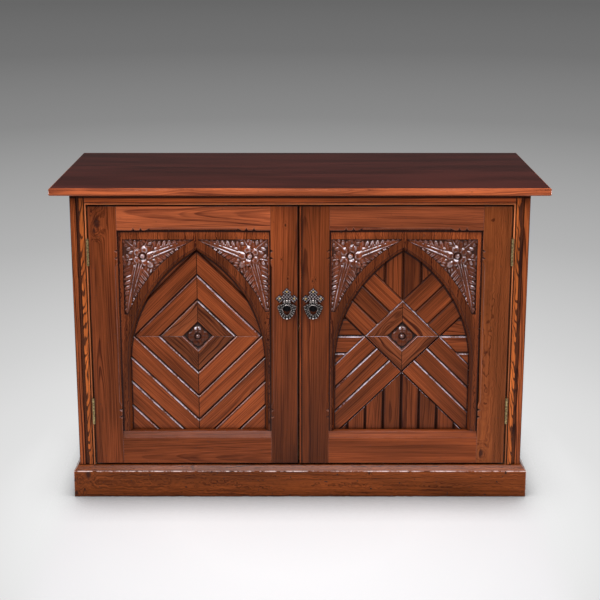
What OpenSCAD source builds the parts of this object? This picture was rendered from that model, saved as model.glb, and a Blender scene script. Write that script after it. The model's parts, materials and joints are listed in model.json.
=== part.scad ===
// Storage cupboard with two arched and carved doors, free standing.
// Millimetres. X runs to the right, Y runs from the front to the back, Z runs up from the floor.
// The origin is under the middle of the cupboard.

/* [Overall] */
// Width over the top board
width = 1370; // [1100:5:1600]
// Height from the floor to the top
height = 920; // [800:5:1000]
// Depth from the front edge of the top to the back
depth = 564; // [460:2:640]

/* [Case] */
// Thickness of the top board
top_thick = 22; // [18:1:30]
// Radius on the edges of the top board
top_round = 6; // [2:0.5:9]
// How far the top stands out in front of the case
front_overhang = 48; // [20:1:60]
// How far the top stands out past each side
side_overhang = 47; // [20:1:60]
// Thickness of the two side boards
side_thick = 22; // [18:1:26]
// Thickness of the bottom board
bottom_thick = 20; // [16:1:24]
// Thickness of the shelf
shelf_thick = 18; // [15:1:22]
// Height of the top of the shelf
shelf_level = 496; // [350:2:650]
// How far the shelf stands behind the face frame
shelf_setback = 30; // [10:1:60]
// Thickness of the cleats under the shelf
cleat_thick = 20; // [15:1:25]
// Height of the cleats under the shelf
cleat_height = 25; // [18:1:35]
// Free length at the ends of the cleats
cleat_end = 56; // [30:1:80]
// Thickness of the rail across the back under the top
rear_rail_thick = 22; // [16:1:30]
// Height of the rail across the back under the top
rear_rail_height = 60; // [40:1:80]
// Thickness of the back boards
back_thick = 12; // [9:1:16]
// Number of back boards
back_count = 12; // [8:1:16]
// Leg of the glue blocks in the plinth
block_leg = 45; // [30:1:50]
// Leg of the glue blocks under the top
small_block_leg = 28; // [20:1:35]
// Length of the glue blocks
block_length = 60; // [40:1:80]

/* [Face frame] */
// Thickness of the frame round the doors
frame_thick = 33; // [30:1:40]
// Width of the upright at each corner, without its bead
corner_width = 41; // [30:1:60]
// Width of the bead that lines the opening
bead_width = 4; // [3:0.5:8]
// Width of the sunk lines beside the beads
quirk_width = 2.5; // [1.5:0.5:4]
// Height of the rail over the doors, with its bead
head_height = 34; // [26:1:60]

/* [Plinth] */
// Height of the plinth
plinth_height = 94; // [60:1:130]
// Thickness of the plinth boards
plinth_thick = 24; // [18:1:30]
// How far the plinth stands out past the case
plinth_step = 16; // [8:1:24]
// Height of the slope along the top of the plinth
plinth_slope = 15; // [8:1:24]
// Width of the flat ledge between the slope and the case
plinth_ledge = 4; // [2:0.5:6]

/* [Doors] */
// Thickness of a door frame
door_thick = 32; // [28:1:38]
// Gap on the hinge side
hinge_gap = 3; // [2.5:0.5:4]
// Gap between the two doors
meeting_gap = 3.5; // [3:0.5:5]
// How far the meeting line lies to the left of the middle
meeting_shift = 3.75; // [0:0.25:8]
// Gap over the doors
top_gap = 3; // [2.5:0.5:5]
// Gap under the doors
bottom_gap = 4; // [3:0.5:6]
// Width of the stile that carries the hinges
hinge_stile_width = 80; // [60:1:100]
// Where the panel opening ends near the middle of the cupboard
panel_inner = 82; // [70:1:110]
// Height of the top rail
top_rail_height = 70; // [50:1:100]
// Height of the face of the bottom rail
bottom_rail_height = 78; // [60:1:120]
// Rise of the sloped sill over the bottom rail
sill_rise = 17.5; // [8:0.5:30]
// Thickness of the lip in front of the panel
lip = 9; // [6:0.5:12]
// How far the panel reaches behind the lip
lap = 10; // [6:1:14]
// Thickness of the arched boards
arch_thick = 14; // [10:1:18]
// Thickness of the boards behind the doors
backing_thick = 6; // [5:0.5:10]
// Length of the tenons of the rails
tenon_length = 50; // [35:1:60]
// Thickness of the tenons of the rails
tenon_thick = 10; // [7:0.5:12]
// Distance from the sill up to the stopped chamfers
chamfer_start = 78; // [60:1:110]
// Leg of the stopped chamfers
chamfer_leg = 6.5; // [4:0.5:8]
// Length of a door stop under the top
stop_length = 65; // [45:1:90]
// Thickness of a door stop
stop_thick = 18; // [12:1:24]
// How far a door stop hangs down behind a door
stop_overlap = 12; // [8:1:20]
// Distance from the middle of the cupboard to a friction stud
stud_out = 136; // [120:1:250]

/* [Arch and carving] */
// Width of the board beside the foot of the arch, near the middle of the cupboard
arch_inner_foot = 17; // [12:1:30]
// Width of the board beside the foot of the arch, near the hinges
arch_outer_foot = 27; // [20:1:40]
// Distance from the tip of the arch up to the top rail
arch_cover = 60.5; // [55:0.5:90]
// Width of the plain band along the arch
arch_band = 30; // [20:1:40]
// Bevel on the inside of the arch
arch_bevel = 8; // [3:0.5:10]
// Depth of the sunk ground behind the carving
carve_depth = 6; // [3:0.5:8]
// Plain strip over the carving
field_top_margin = 28; // [20:1:40]
// Plain strip beside the carving, near the middle of the cupboard
field_inner_margin = 7; // [5:0.5:12]
// Plain strip beside the carving, near the hinges
field_outer_margin = 14; // [8:0.5:18]
// Width of the carving where it ends at its foot
field_point = 10; // [7:0.5:14]
// Distance from the top rail down to the middle of the boarded pattern
pattern_drop = 316; // [280:1:350]
// Half of the diagonal of the recess for a boss
boss_half = 39.5; // [30:0.5:50]
// Half of the diagonal of the middle diamond
diamond_half = 108; // [90:1:130]
// Spacing of the chevrons along the centre line
chevron_pitch = 72.7; // [50:0.1:90]
// Width of the upright and level boards
board_width = 51.5; // [40:0.5:70]
// Leg of the V along each joint between boards
vee = 3.5; // [1:0.25:5]

/* [Hinges] */
// Height of a butt hinge
hinge_height = 76; // [60:1:100]
// Distance from the top of a door down to the middle of its upper hinge
upper_hinge_drop = 132; // [80:1:200]
// Distance from the bottom of a door up to the middle of its lower hinge
lower_hinge_rise = 161; // [80:1:220]
// Width of a hinge leaf
leaf_width = 26; // [20:1:28]
// Spacing of the screws in a hinge leaf
screw_pitch = 27; // [20:1:30]
// Distance from the door face to the hinge screws
screw_inset = 15; // [11:1:18]
// Radius of a hinge knuckle
knuckle_r = 3.6; // [3:0.1:5]
// Radius of a hinge pin
hinge_pin_r = 1.8; // [1.2:0.1:2.5]
// Thickness of a hinge leaf
leaf_thick = 1.6; // [1:0.1:2]
// Running clearance round moving pins
running = 0.06; // [0.02:0.01:0.1]

/* [Handles] */
// Distance from the middle of the cupboard to a handle
handle_out = 37; // [30:0.5:50]
// Distance from the top of a door down to the pivot of its drop ring
handle_drop = 272; // [180:1:360]
// Thickness of a backplate
plate_thick = 2.5; // [1.5:0.5:4]
// Thickness of a drop ring
ring_thick = 6; // [4:0.5:8]
// Distance from the door face to the pivot of the ring
pivot_out = 7.5; // [7:0.5:12]

/* [Show] */
// Piece to show

/* [Hidden] */
front = -depth / 2;
back = depth / 2;
face = front + front_overhang;
frame_back = face + frame_thick;
case_half = width / 2 - side_overhang;
inside_half = case_half - side_thick;
upright_inner = case_half - corner_width;
open_half = upright_inner - bead_width;
top_under = height - top_thick;
open_top = top_under - head_height;
board_back = back - back_thick;
plinth_half = case_half + plinth_step;
plinth_face = face - plinth_step;

door_edge = open_half - hinge_gap;
door_back = face + door_thick;
door_bottom = plinth_height + bottom_gap;
door_top = open_top - top_gap;
left_meeting = meeting_shift + meeting_gap / 2;
right_meeting = meeting_gap / 2 - meeting_shift;
panel_outer = door_edge - hinge_stile_width;
arch_front = face + lip;
arch_back = arch_front + arch_thick;
sill_face = door_bottom + bottom_rail_height;
sill_top = sill_face + sill_rise;
panel_bottom = sill_top - lap;
panel_top = door_top - top_rail_height;
arch_half = (panel_outer - arch_outer_foot - panel_inner - arch_inner_foot) / 2;
arch_centre = panel_inner + arch_inner_foot + arch_half;
arch_r = 2 * arch_half;
band_r = arch_r + arch_band;
spring_level = panel_top - arch_cover - sqrt(3) * arch_half;
carve_ground = arch_front + carve_depth;
carve_top = panel_top - field_top_margin;
carve_start = 6;
pattern_level = panel_top - pattern_drop;
far = panel_top - panel_bottom + panel_outer - panel_inner;
tenon_front = face + 11;
tenon_back = tenon_front + tenon_thick;
tenon_spans = [[panel_inner - tenon_length, panel_inner], [panel_outer, panel_outer + tenon_length]];
chamfer_length = panel_top - sill_top - 2 * chamfer_start - 14;
stud_y = face + 17;

hinge_x = (open_half + door_edge) / 2;
hinge_y = face - knuckle_r;
hinge_levels = [door_bottom + lower_hinge_rise, door_top - upper_hinge_drop];
leaf_back = face + leaf_width;
screw_offsets = [-screw_pitch, 0, screw_pitch];
screw_y = face + screw_inset;

handle_level = door_top - handle_drop;
pivot_y = face - pivot_out;
nail_spots = [[-20.5, 5], [20.5, 5], [0, 25]];

pine = [0.55, 0.25, 0.13];
dark_pine = [0.40, 0.17, 0.09];
plain_pine = [0.66, 0.42, 0.24];
brass = [0.66, 0.53, 0.27];
pewter = [0.30, 0.29, 0.30];

// Helpers

// A box between two corners
module box(a, b) {
  translate(a) cube(b - a);
}

// Gives a flat X-Z outline its depth from y0 to y1
module slab(y0, y1) {
  translate([0, y1, 0]) rotate([90, 0, 0]) linear_extrude(height = y1 - y0) children();
}

// Runs a flat Y-Z profile along X from x0 to x1
module run_x(x0, x1) {
  translate([x0, 0, 0]) rotate([90, 0, 90]) linear_extrude(height = x1 - x0) children();
}

// A rod along X
module rod_x(x0, x1, y, z, r) {
  translate([x0, y, z]) rotate([0, 90, 0]) cylinder(h = x1 - x0, r = r, $fn = 32);
}

// A rod or cone along Y
module rod_y(x, z, y0, y1, r0, r1) {
  translate([x, y0, z]) rotate([-90, 0, 0]) cylinder(h = y1 - y0, r1 = r0, r2 = r1, $fn = 32);
}

// Does the same for the left and the right
module both_sides() {
  children();
  mirror([1, 0, 0]) children();
}

// Cuts a chamfer along an arris on Z, into +X, with ends that run out to nothing
module run_out(length, leg, ramp) {
  deep = leg / sqrt(2);
  rotate([90, 0, 0]) linear_extrude(height = 4 * leg, center = true)
    polygon([[-2, 0], [0, 0], [deep, ramp], [deep, length - ramp], [0, length], [-2, length]]);
}

// The stopped chamfer with a pair of nicks past each end
module stopped_chamfer(length) {
  run_out(length, chamfer_leg, 14);
  for (end = [-1, 1], nick = [0, 1])
    translate([0, 0, end > 0 ? length + 6 + 21 * nick : -16 - 21 * nick]) run_out(10, 8, 5);
}

// Case

module top_board() {
  color(dark_pine) intersection() {
    run_x(-width / 2, width / 2) round_slab(front, back, top_under, height, top_round);
    translate([0, back, 0]) rotate([90, 0, 0]) linear_extrude(height = depth)
      round_slab(-width / 2, width / 2, top_under, height, top_round);
  }
}

// A flat bar with four rounded corners
module round_slab(a0, a1, b0, b1, r) {
  union() {
    translate([a0 + r, b0]) square([a1 - a0 - 2 * r, b1 - b0]);
    translate([a0, b0 + r]) square([a1 - a0, b1 - b0 - 2 * r]);
    for (a = [a0 + r, a1 - r], b = [b0 + r, b1 - r]) translate([a, b]) circle(r = r, $fn = 32);
  }
}

module side_board() {
  color(pine) box([inside_half, frame_back, plinth_height], [case_half, back, top_under]);
}

module left_side() {
  mirror([1, 0, 0]) side_board();
}

module right_side() {
  side_board();
}

module bottom_board() {
  color(plain_pine) box([-inside_half, frame_back, plinth_height],
                        [inside_half, board_back, plinth_height + bottom_thick]);
}

module shelf() {
  top = shelf_level;
  edge = frame_back + shelf_setback;
  nose = 5;
  color(plain_pine) run_x(-inside_half, inside_half)
    polygon([[board_back, top - shelf_thick], [board_back, top], [edge + nose, top],
             [edge, top - nose], [edge, top - shelf_thick + nose], [edge + nose, top - shelf_thick]]);
}

module shelf_cleats() {
  under = shelf_level - shelf_thick;
  color(plain_pine) {
    both_sides() box([inside_half - cleat_thick, frame_back + shelf_setback + 10, under - cleat_height],
                     [inside_half, board_back - cleat_thick - 13, under]);
    box([cleat_end - inside_half, board_back - cleat_thick, under - cleat_height],
        [inside_half - cleat_end, board_back, under]);
  }
}

// Upright tongued and grooved boards across the back
module back_boards() {
  pitch = 2 * inside_half / back_count;
  joint = 0.3;
  y0 = board_back;
  color(plain_pine) for (i = [0 : back_count - 1]) translate([-inside_half + i * pitch, 0, plinth_height])
    linear_extrude(height = top_under - plinth_height)
      polygon(concat(
        [[0, y0], [pitch - joint, y0]],
        i == back_count - 1 ? [[pitch, y0], [pitch, back - 2], [pitch - 2, back]]
          : [[pitch - joint, y0 + 4], [pitch + 4, y0 + 4], [pitch + 4, y0 + 8],
             [pitch - joint, y0 + 8], [pitch - joint, back - 2], [pitch - joint - 2, back]],
        [[2, back], [0, back - 2]],
        i == 0 ? [] : [[0, y0 + 8.2], [5, y0 + 8.2], [5, y0 + 3.8], [0, y0 + 3.8]]));
}

module rear_top_rail() {
  color(plain_pine) box([-inside_half, board_back - rear_rail_thick, top_under - rear_rail_height],
                        [inside_half, board_back, top_under]);
}

// Face frame

// Moulded upright with a sunk band, cut for the hinge screws
module corner_upright() {
  outer = case_half;
  color(pine) difference() {
    translate([0, 0, plinth_height]) linear_extrude(height = top_under - plinth_height) polygon(concat(
      [[outer, frame_back]],
      [for (a = [0 : 22.5 : 90]) [outer - 4 + 4 * cos(a), face + 4 - 4 * sin(a)]],
      [[outer - 16.5, face], [outer - 18, face + 5], [outer - 24.5, face + 5], [outer - 26, face],
       [upright_inner + quirk_width, face], [upright_inner + quirk_width, face + 4],
       [upright_inner, face + 4], [upright_inner, frame_back]]));
    hinge_screw_bores(upright_inner - 1);
  }
}

module left_corner_upright() {
  mirror([1, 0, 0]) corner_upright();
}

module right_corner_upright() {
  corner_upright();
}

module head_rail() {
  bead_top = open_top + bead_width;
  color(pine) run_x(-upright_inner, upright_inner)
    polygon([[frame_back, bead_top], [frame_back, top_under], [face, top_under],
             [face, bead_top + quirk_width], [face + 4, bead_top + quirk_width], [face + 4, bead_top]]);
}

// Round nosed lining of the opening, mitred at the two top corners
module opening_beads() {
  r = bead_width / 2;
  mitre = 0.1;
  color(pine) {
    both_sides() difference() {
      intersection() {
        slab(face - 1, frame_back + 1) polygon([[open_half, plinth_height], [upright_inner, plinth_height],
          [upright_inner, open_top + bead_width - mitre], [open_half, open_top - mitre]]);
        translate([0, 0, plinth_height - 1]) linear_extrude(height = top_under) union() {
          translate([open_half + r, face + r]) circle(r = r, $fn = 24);
          translate([open_half, face + r]) square([bead_width, frame_thick - r]);
        }
      }
      for (level = hinge_levels)
        box([open_half - 1, face - 1, level - hinge_height / 2],
            [open_half + leaf_thick, leaf_back, level + hinge_height / 2]);
      hinge_screw_bores(open_half - 1);
    }
    difference() {
      intersection() {
        slab(face - 1, frame_back + 1) polygon([[-open_half, open_top], [open_half, open_top],
          [upright_inner, open_top + bead_width], [-upright_inner, open_top + bead_width]]);
        run_x(-upright_inner, upright_inner) union() {
          translate([face + r, open_top + r]) circle(r = r, $fn = 24);
          translate([face + r, open_top]) square([frame_thick - r, bead_width]);
        }
      }
      friction_plate_boxes(1);
    }
  }
}

// Plinth

module plinth_profile() {
  polygon([[0, 0], [plinth_thick, 0], [plinth_thick, plinth_height - plinth_slope],
           [plinth_thick - plinth_step + plinth_ledge, plinth_height], [0, plinth_height]]);
}

module plinth_front() {
  inner = plinth_half - plinth_thick;
  color(pine) intersection() {
    linear_extrude(height = plinth_height + 1) polygon([[-plinth_half, plinth_face], [plinth_half, plinth_face],
      [inner, plinth_face + plinth_thick], [-inner, plinth_face + plinth_thick]]);
    translate([0, plinth_face + plinth_thick, 0]) run_x(-plinth_half, plinth_half)
      mirror([1, 0]) plinth_profile();
  }
}

module plinth_return() {
  inner = plinth_half - plinth_thick;
  color(pine) intersection() {
    linear_extrude(height = plinth_height + 1) polygon([[plinth_half, plinth_face], [plinth_half, back],
      [inner, back], [inner, plinth_face + plinth_thick]]);
    translate([inner, back, 0]) rotate([90, 0, 0]) linear_extrude(height = back - plinth_face)
      plinth_profile();
  }
}

module plinth_left() {
  mirror([1, 0, 0]) plinth_return();
}

module plinth_right() {
  plinth_return();
}

module plinth_back() {
  inner = plinth_half - plinth_thick;
  color(plain_pine) box([-inner, back - plinth_thick, 0], [inner, back, plinth_height]);
}

// Triangular blocks in the plinth and under the top
module glue_blocks() {
  inner = plinth_half - plinth_thick;
  foot = 24;
  room = board_back - frame_back;
  leg = small_block_leg;
  color(plain_pine) {
    both_sides() {
      translate([inner, plinth_face + plinth_thick, foot]) linear_extrude(height = plinth_height - foot)
        polygon([[0, 0], [-block_leg, 0], [0, block_leg]]);
      translate([inner, back - plinth_thick, foot]) linear_extrude(height = plinth_height - foot)
        polygon([[0, 0], [0, -block_leg], [-block_leg, 0]]);
      for (part = [1, 3, 5]) translate([inside_half, frame_back + room * part / 6, top_under])
        rotate([90, 0, 0]) linear_extrude(height = block_length, center = true)
          polygon([[0, 0], [-leg, 0], [0, -leg]]);
    }
    for (x = [-inner / 3, inner / 3]) translate([x, plinth_face + plinth_thick, plinth_height])
      rotate([90, 0, 90]) linear_extrude(height = block_length, center = true)
        polygon([[0, 0], [block_leg - 5, 0], [0, 5 - block_leg]]);
  }
}

module door_stops() {
  near = 30;
  stop_back = frame_back + stop_thick;
  color(plain_pine) both_sides() difference() {
    box([near, frame_back, door_top - stop_overlap], [near + stop_length, stop_back, top_under - 8]);
    rod_y(near + stop_length / 2, top_under - 18, stop_back - 6, stop_back + 1, 3, 4.5);
  }
}

module friction_plate_boxes(over) {
  both_sides() box([stud_out - 16, stud_y - 7, open_top - over], [stud_out + 16, stud_y + 7, open_top + 1.2]);
}

module friction_plates() {
  color(brass) friction_plate_boxes(0);
}

// Door frames, drawn for the right and mirrored for the left

module hinge_stile() {
  color(pine) difference() {
    box([panel_outer, face, door_bottom], [door_edge, door_back, door_top]);
    box([panel_outer - 1, arch_front, sill_top], [panel_outer + lap, door_back + 1, panel_top + lap]);
    box([panel_outer - 1, arch_back, panel_bottom], [panel_outer + lap, door_back + 1, sill_top + 1]);
    translate([panel_outer, face, sill_top + chamfer_start]) rotate([0, 0, 45])
      stopped_chamfer(chamfer_length);
    tenon_block(panel_outer - 1, panel_outer + tenon_length);
    for (level = hinge_levels)
      box([door_edge - leaf_thick, face - 1, level - hinge_height / 2],
          [door_edge + 1, leaf_back, level + hinge_height / 2]);
    hinge_screw_bores(door_edge + 1, -1);
  }
}

module meeting_stile(edge, beaded) {
  color(pine) difference() {
    box([edge, face, door_bottom], [panel_inner, door_back, door_top]);
    box([panel_inner - lap, arch_front, sill_top], [panel_inner + 1, door_back + 1, panel_top + lap]);
    box([panel_inner - lap, arch_back, panel_bottom], [panel_inner + 1, door_back + 1, sill_top + 1]);
    translate([panel_inner, face, sill_top + chamfer_start]) rotate([0, 0, 135])
      stopped_chamfer(chamfer_length);
    tenon_block(panel_inner - tenon_length, panel_inner + 1);
    if (beaded) {
      box([edge + 6, face - 1, door_bottom - 1], [edge + 9, face + 3, door_top + 1]);
      translate([0, 0, door_bottom - 1]) linear_extrude(height = door_top) difference() {
        translate([edge - 1, face - 1]) square([7, 4]);
        translate([edge + 3, face + 3]) circle(r = 3, $fn = 24);
      }
    }
    handle_nail_bores(face - 1, face + 9);
  }
}

// The space of the two tenons that enter a stile
module tenon_block(x0, x1) {
  box([x0, tenon_front, door_bottom + 12], [x1, tenon_back, sill_face - 8]);
  box([x0, tenon_front, panel_top + lap + 4], [x1, tenon_back, door_top - 12]);
}

module top_rail() {
  color(pine) {
    difference() {
      run_x(panel_inner, panel_outer) polygon([[face, panel_top], [arch_front, panel_top],
        [arch_front, panel_top + lap], [door_back, panel_top + lap], [door_back, door_top], [face, door_top]]);
      translate([panel_inner + chamfer_start, face, panel_top]) rotate([135, 0, 0]) rotate([0, 90, 0])
        stopped_chamfer(panel_outer - panel_inner - 2 * chamfer_start);
      translate([stud_out, stud_y, door_top - 13]) cylinder(h = 14, r = 4, $fn = 24);
    }
    for (x = tenon_spans) box([x[0], tenon_front, panel_top + lap + 4], [x[1], tenon_back, door_top - 12]);
  }
}

// Bottom rail with the sloped sill
module bottom_rail() {
  color(pine) {
    run_x(panel_inner, panel_outer) polygon([[face, door_bottom], [door_back, door_bottom],
      [door_back, panel_bottom], [arch_back, panel_bottom], [arch_back, sill_top],
      [arch_front, sill_top], [face, sill_face]]);
    for (x = tenon_spans) box([x[0], tenon_front, door_bottom + 12], [x[1], tenon_back, sill_face - 8]);
  }
}

// Arched and carved spandrels, drawn about the centre line of the arch, to +X

module spandrel(reach, field) {
  leg = arch_half - 0.2;
  color(pine) {
    difference() {
      box([0, arch_front, sill_top], [reach, arch_back, panel_top + lap]);
      rod(arch_r, arch_r, arch_front - 1, arch_back + 1);
      rod(arch_r + arch_bevel + 1, arch_r, arch_front - 1, arch_front + arch_bevel);
      box([-1, arch_front - 1, sill_top - 1], [leg, arch_back + 1, spring_level]);
      translate([leg, arch_front, 0]) linear_extrude(height = spring_level)
        polygon([[-1, -1], [arch_bevel + 1, -1], [0, arch_bevel], [-1, arch_bevel]]);
      difference() {
        box([carve_start, arch_front - 1, field_foot(field)], [field, carve_ground, carve_top]);
        rod(band_r, band_r, arch_front - 2, arch_back);
      }
    }
    carving(field);
  }
}

// Level at which the carved field has run out to its narrow foot
function field_foot(field) = spring_level + sqrt(pow(band_r, 2) - pow(arch_half + field - field_point, 2));

// A round on the axis of the arc whose centre lies on the far springing point
module rod(r0, r1, y0, y1) {
  translate([-arch_half, y0, spring_level]) rotate([-90, 0, 0])
    cylinder(h = y1 - y0, r1 = r0, r2 = r1, $fn = 96);
}

// One tapering rib of the carving, half sunk in the ground
module rib(a, b, r0, r1) {
  d = b - a;
  translate([a[0], carve_ground, a[1]]) rotate([0, atan2(d[0], d[1]), 0])
    cylinder(h = norm(d), r1 = r0, r2 = r1, $fn = 24);
}

// Flower with sheaves of ribs towards the apex and down the side. Places are parts of the field,
// from its narrow end to its side and from its top to its foot
module carving(field) {
  wide = field - carve_start;
  tall = carve_top - field_foot(field);
  function at(p) = [carve_start + p[0] * wide, carve_top - p[1] * tall];
  bloom = at([0.724, 0.225]);
  for (a = [36 : 72 : 324]) rod_y(bloom[0] + 20 * cos(a), bloom[1] + 20 * sin(a),
    arch_front - 0.5, carve_ground + 1, 6, 12.5);
  rod_y(bloom[0], bloom[1], arch_front - 2, carve_ground + 1, 5, 8);
  rib(at([0.563, 0.179]), at([0.121, 0.028]), 5.5, 2);
  rib(at([0.543, 0.128]), at([0.181, 0.028]), 5, 1.5);
  rib(at([0.583, 0.234]), at([0.261, 0.101]), 4.5, 2);
  rib(at([0.784, 0.372]), at([0.950, 0.821]), 5.5, 2);
  rib(at([0.839, 0.362]), at([0.970, 0.729]), 5, 1.5);
  rib(at([0.734, 0.381]), at([0.894, 0.720]), 4.5, 2);
  rib(at([0.814, 0.124]), at([0.955, 0.023]), 4, 2);
  rib(at([0.643, 0.317]), at([0.593, 0.362]), 7, 3);
}

// Boards of the panels

// A board along Z from z0 to z1, from v0 to v1 across, with a V on both long edges
module vee_board(v0, v1, z0, z1) {
  g = 0.1;
  translate([0, 0, z0]) linear_extrude(height = z1 - z0)
    polygon([[v0 + g, door_back], [v1 - g, door_back], [v1 - g, arch_back + vee],
             [v1 - g - vee, arch_back], [v0 + g + vee, arch_back], [v0 + g, arch_back + vee]]);
}

// Keeps what lies in the rebate, inside an outline given from the middle of the pattern
module within(outline) {
  intersection() {
    translate([arch_centre, 0, pattern_level]) intersection() {
      slab(arch_back - 1, door_back + 1) polygon(outline);
      children();
    }
    box([panel_inner - lap, arch_back - 2, panel_bottom], [panel_outer + lap, door_back + 2, panel_top + lap]);
  }
}

// One mitred board of a diamond, in the quarter given by the signs
module diamond_board(a, b, sx, sz) {
  g = 0.1;
  within([[sx * g, sz * g], [sx * far, sz * g], [sx * far, sz * far], [sx * g, sz * far]])
    rotate([0, sz > 0 ? (sx > 0 ? -45 : -135) : (sx > 0 ? 45 : 135), 0])
      vee_board(a / sqrt(2), b / sqrt(2), -b, b);
}

module diamond_boards() {
  color(pine) for (sx = [-1, 1], sz = [-1, 1]) diamond_board(boss_half, diamond_half, sx, sz);
}

module chevrons(sz) {
  rings = [for (i = [0 : 4]) diamond_half + chevron_pitch * i];
  color(pine) for (i = [0 : 4], sx = [-1, 1])
    diamond_board(rings[i], i < 4 ? rings[i + 1] : far, sx, sz);
}

module upright_boards() {
  g = 0.15;
  a = diamond_half + 2 * g;
  w = board_width;
  color(pine) for (sz = [-1, 1], i = [-4 : 3])
    within([[0, sz * a], [far, sz * (a + far)], [-far, sz * (a + far)]])
      vee_board(i == -4 ? -far : i * w, i == 3 ? far : (i + 1) * w,
                sz > 0 ? a / 2 : -far, sz > 0 ? far : -a / 2);
}

module level_boards() {
  g = 0.15;
  a = diamond_half + 2 * g;
  w = board_width;
  color(pine) for (sx = [-1, 1], i = [-2 : 1])
    within([[sx * a, 0], [sx * (a + far), far], [sx * (a + far), -far]])
      rotate([0, 90, 0]) vee_board(i == -2 ? -far : i * w, i == 1 ? far : (i + 1) * w,
                sx > 0 ? a / 2 : -far, sx > 0 ? far : -a / 2);
}

module raking_boards() {
  half = diamond_half / sqrt(2);
  w = 2 * half / 3;
  color(pine) for (turn = [45, 135, 225, 315], i = [-1 : 1])
    within([[-far, -far], [far, -far], [far, far], [-far, far]])
      rotate([0, turn, 0]) vee_board((i - 0.5) * w, (i + 0.5) * w, half + 0.2, far);
}

// Carved boss of four petals round a bead
module boss() {
  petal = [[0, 8], [6, 9], [14, 17], [10, 27], [0, 35], [-10, 27], [-14, 17], [-6, 9]];
  color(pine) translate([arch_centre, 0, pattern_level]) {
    slab(door_back - 5, door_back) polygon([[boss_half, 0], [0, boss_half], [-boss_half, 0], [0, -boss_half]]);
    for (a = [0 : 90 : 270]) slab(arch_back - 1, door_back - 4) rotate(a) polygon(petal);
    translate([0, door_back - 6, 0]) sphere(r = 6.5, $fn = 32);
    slab(door_back - 6, door_back - 4) circle(r = 12, $fn = 32);
  }
}

// Thin upright boards on the back of a door
module backing_boards() {
  x0 = panel_inner - lap - 8;
  pitch = (panel_outer - panel_inner + 2 * lap + 16) / 4;
  color(plain_pine) for (i = [0 : 3])
    translate([x0 + i * pitch, 0, panel_bottom - 8]) linear_extrude(height = panel_top - panel_bottom + lap + 16)
      polygon([[0.15, door_back], [pitch - 0.15, door_back], [pitch - 0.15, door_back + backing_thick - 1.5],
               [pitch - 1.65, door_back + backing_thick], [1.65, door_back + backing_thick],
               [0.15, door_back + backing_thick - 1.5]]);
}

module friction_stud() {
  color(brass) translate([stud_out, stud_y, door_top]) rotate_extrude($fn = 24)
    polygon([[0, -13], [4, -13], [4, 1.2], [3.4, 2.2], [2, 2.7], [0, 2.7]]);
}

// Left door

module left_door_hinge_stile() { mirror([1, 0, 0]) hinge_stile(); }
module left_door_meeting_stile() { mirror([1, 0, 0]) meeting_stile(left_meeting, false); }
module left_door_top_rail() { mirror([1, 0, 0]) top_rail(); }
module left_door_bottom_rail() { mirror([1, 0, 0]) bottom_rail(); }
module left_door_outer_spandrel() { mirror([1, 0, 0]) outer_spandrel(); }
module left_door_inner_spandrel() { mirror([1, 0, 0]) inner_spandrel(); }
module left_door_diamond_boards() { mirror([1, 0, 0]) diamond_boards(); }
module left_door_upper_chevrons() { mirror([1, 0, 0]) chevrons(1); }
module left_door_lower_chevrons() { mirror([1, 0, 0]) chevrons(-1); }
module left_door_boss() { mirror([1, 0, 0]) boss(); }
module left_door_backing_boards() { mirror([1, 0, 0]) backing_boards(); }
module left_door_friction_stud() { mirror([1, 0, 0]) friction_stud(); }

// Right door

module right_door_hinge_stile() { hinge_stile(); }
module right_door_meeting_stile() { meeting_stile(right_meeting, true); }
module right_door_top_rail() { top_rail(); }
module right_door_bottom_rail() { bottom_rail(); }
module right_door_outer_spandrel() { outer_spandrel(); }
module right_door_inner_spandrel() { inner_spandrel(); }
module right_door_diamond_boards() { diamond_boards(); }
module right_door_upright_boards() { upright_boards(); }
module right_door_level_boards() { level_boards(); }
module right_door_raking_boards() { raking_boards(); }
module right_door_boss() { boss(); }
module right_door_backing_boards() { backing_boards(); }
module right_door_friction_stud() { friction_stud(); }

module outer_spandrel() {
  translate([arch_centre, 0, 0])
    spandrel(panel_outer + lap - arch_centre, panel_outer - field_outer_margin - arch_centre);
}

module inner_spandrel() {
  translate([arch_centre, 0, 0]) mirror([1, 0, 0])
    spandrel(arch_centre - panel_inner + lap, arch_centre - panel_inner - field_inner_margin);
}

// Hinges

// Bores for the screws, into the frame or with into = -1 into the door
module hinge_screw_bores(x, into = 1) {
  for (level = hinge_levels, dz = screw_offsets)
    rod_x(into > 0 ? x : x - 17, into > 0 ? x + 22 : x, screw_y, level + dz, 1.6);
}

// One leaf from x0 to x1 with the knuckles numbered in the list
module hinge_leaf(x0, x1, knuckles, bore) {
  part = hinge_height / 5;
  for (level = hinge_levels) translate([0, 0, level - hinge_height / 2]) difference() {
    union() {
      box([x0, face + 0.1, 0], [x1, leaf_back, hinge_height]);
      for (k = knuckles) translate([0, 0, k * part + 0.15]) {
        translate([hinge_x, hinge_y, 0]) cylinder(h = part - 0.3, r = knuckle_r, $fn = 32);
        box([x0, hinge_y, 0], [x1, face + 1, part - 0.3]);
      }
    }
    translate([hinge_x, hinge_y, -1]) cylinder(h = hinge_height + 2, r = bore, $fn = 32);
  }
}

// A screw head in a leaf, on the side of the leaf that faces the gap
module screw(x, dir) {
  for (level = hinge_levels, dz = screw_offsets)
    translate([x, screw_y, level + dz]) rotate([0, 90 * dir, 0]) rotate_extrude($fn = 24)
      polygon([[0, 0.6], [1, 0.1], [3, 0.1], [1.6, leaf_thick], [1.6, 14], [0.4, 16], [0, 16]]);
}

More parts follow.
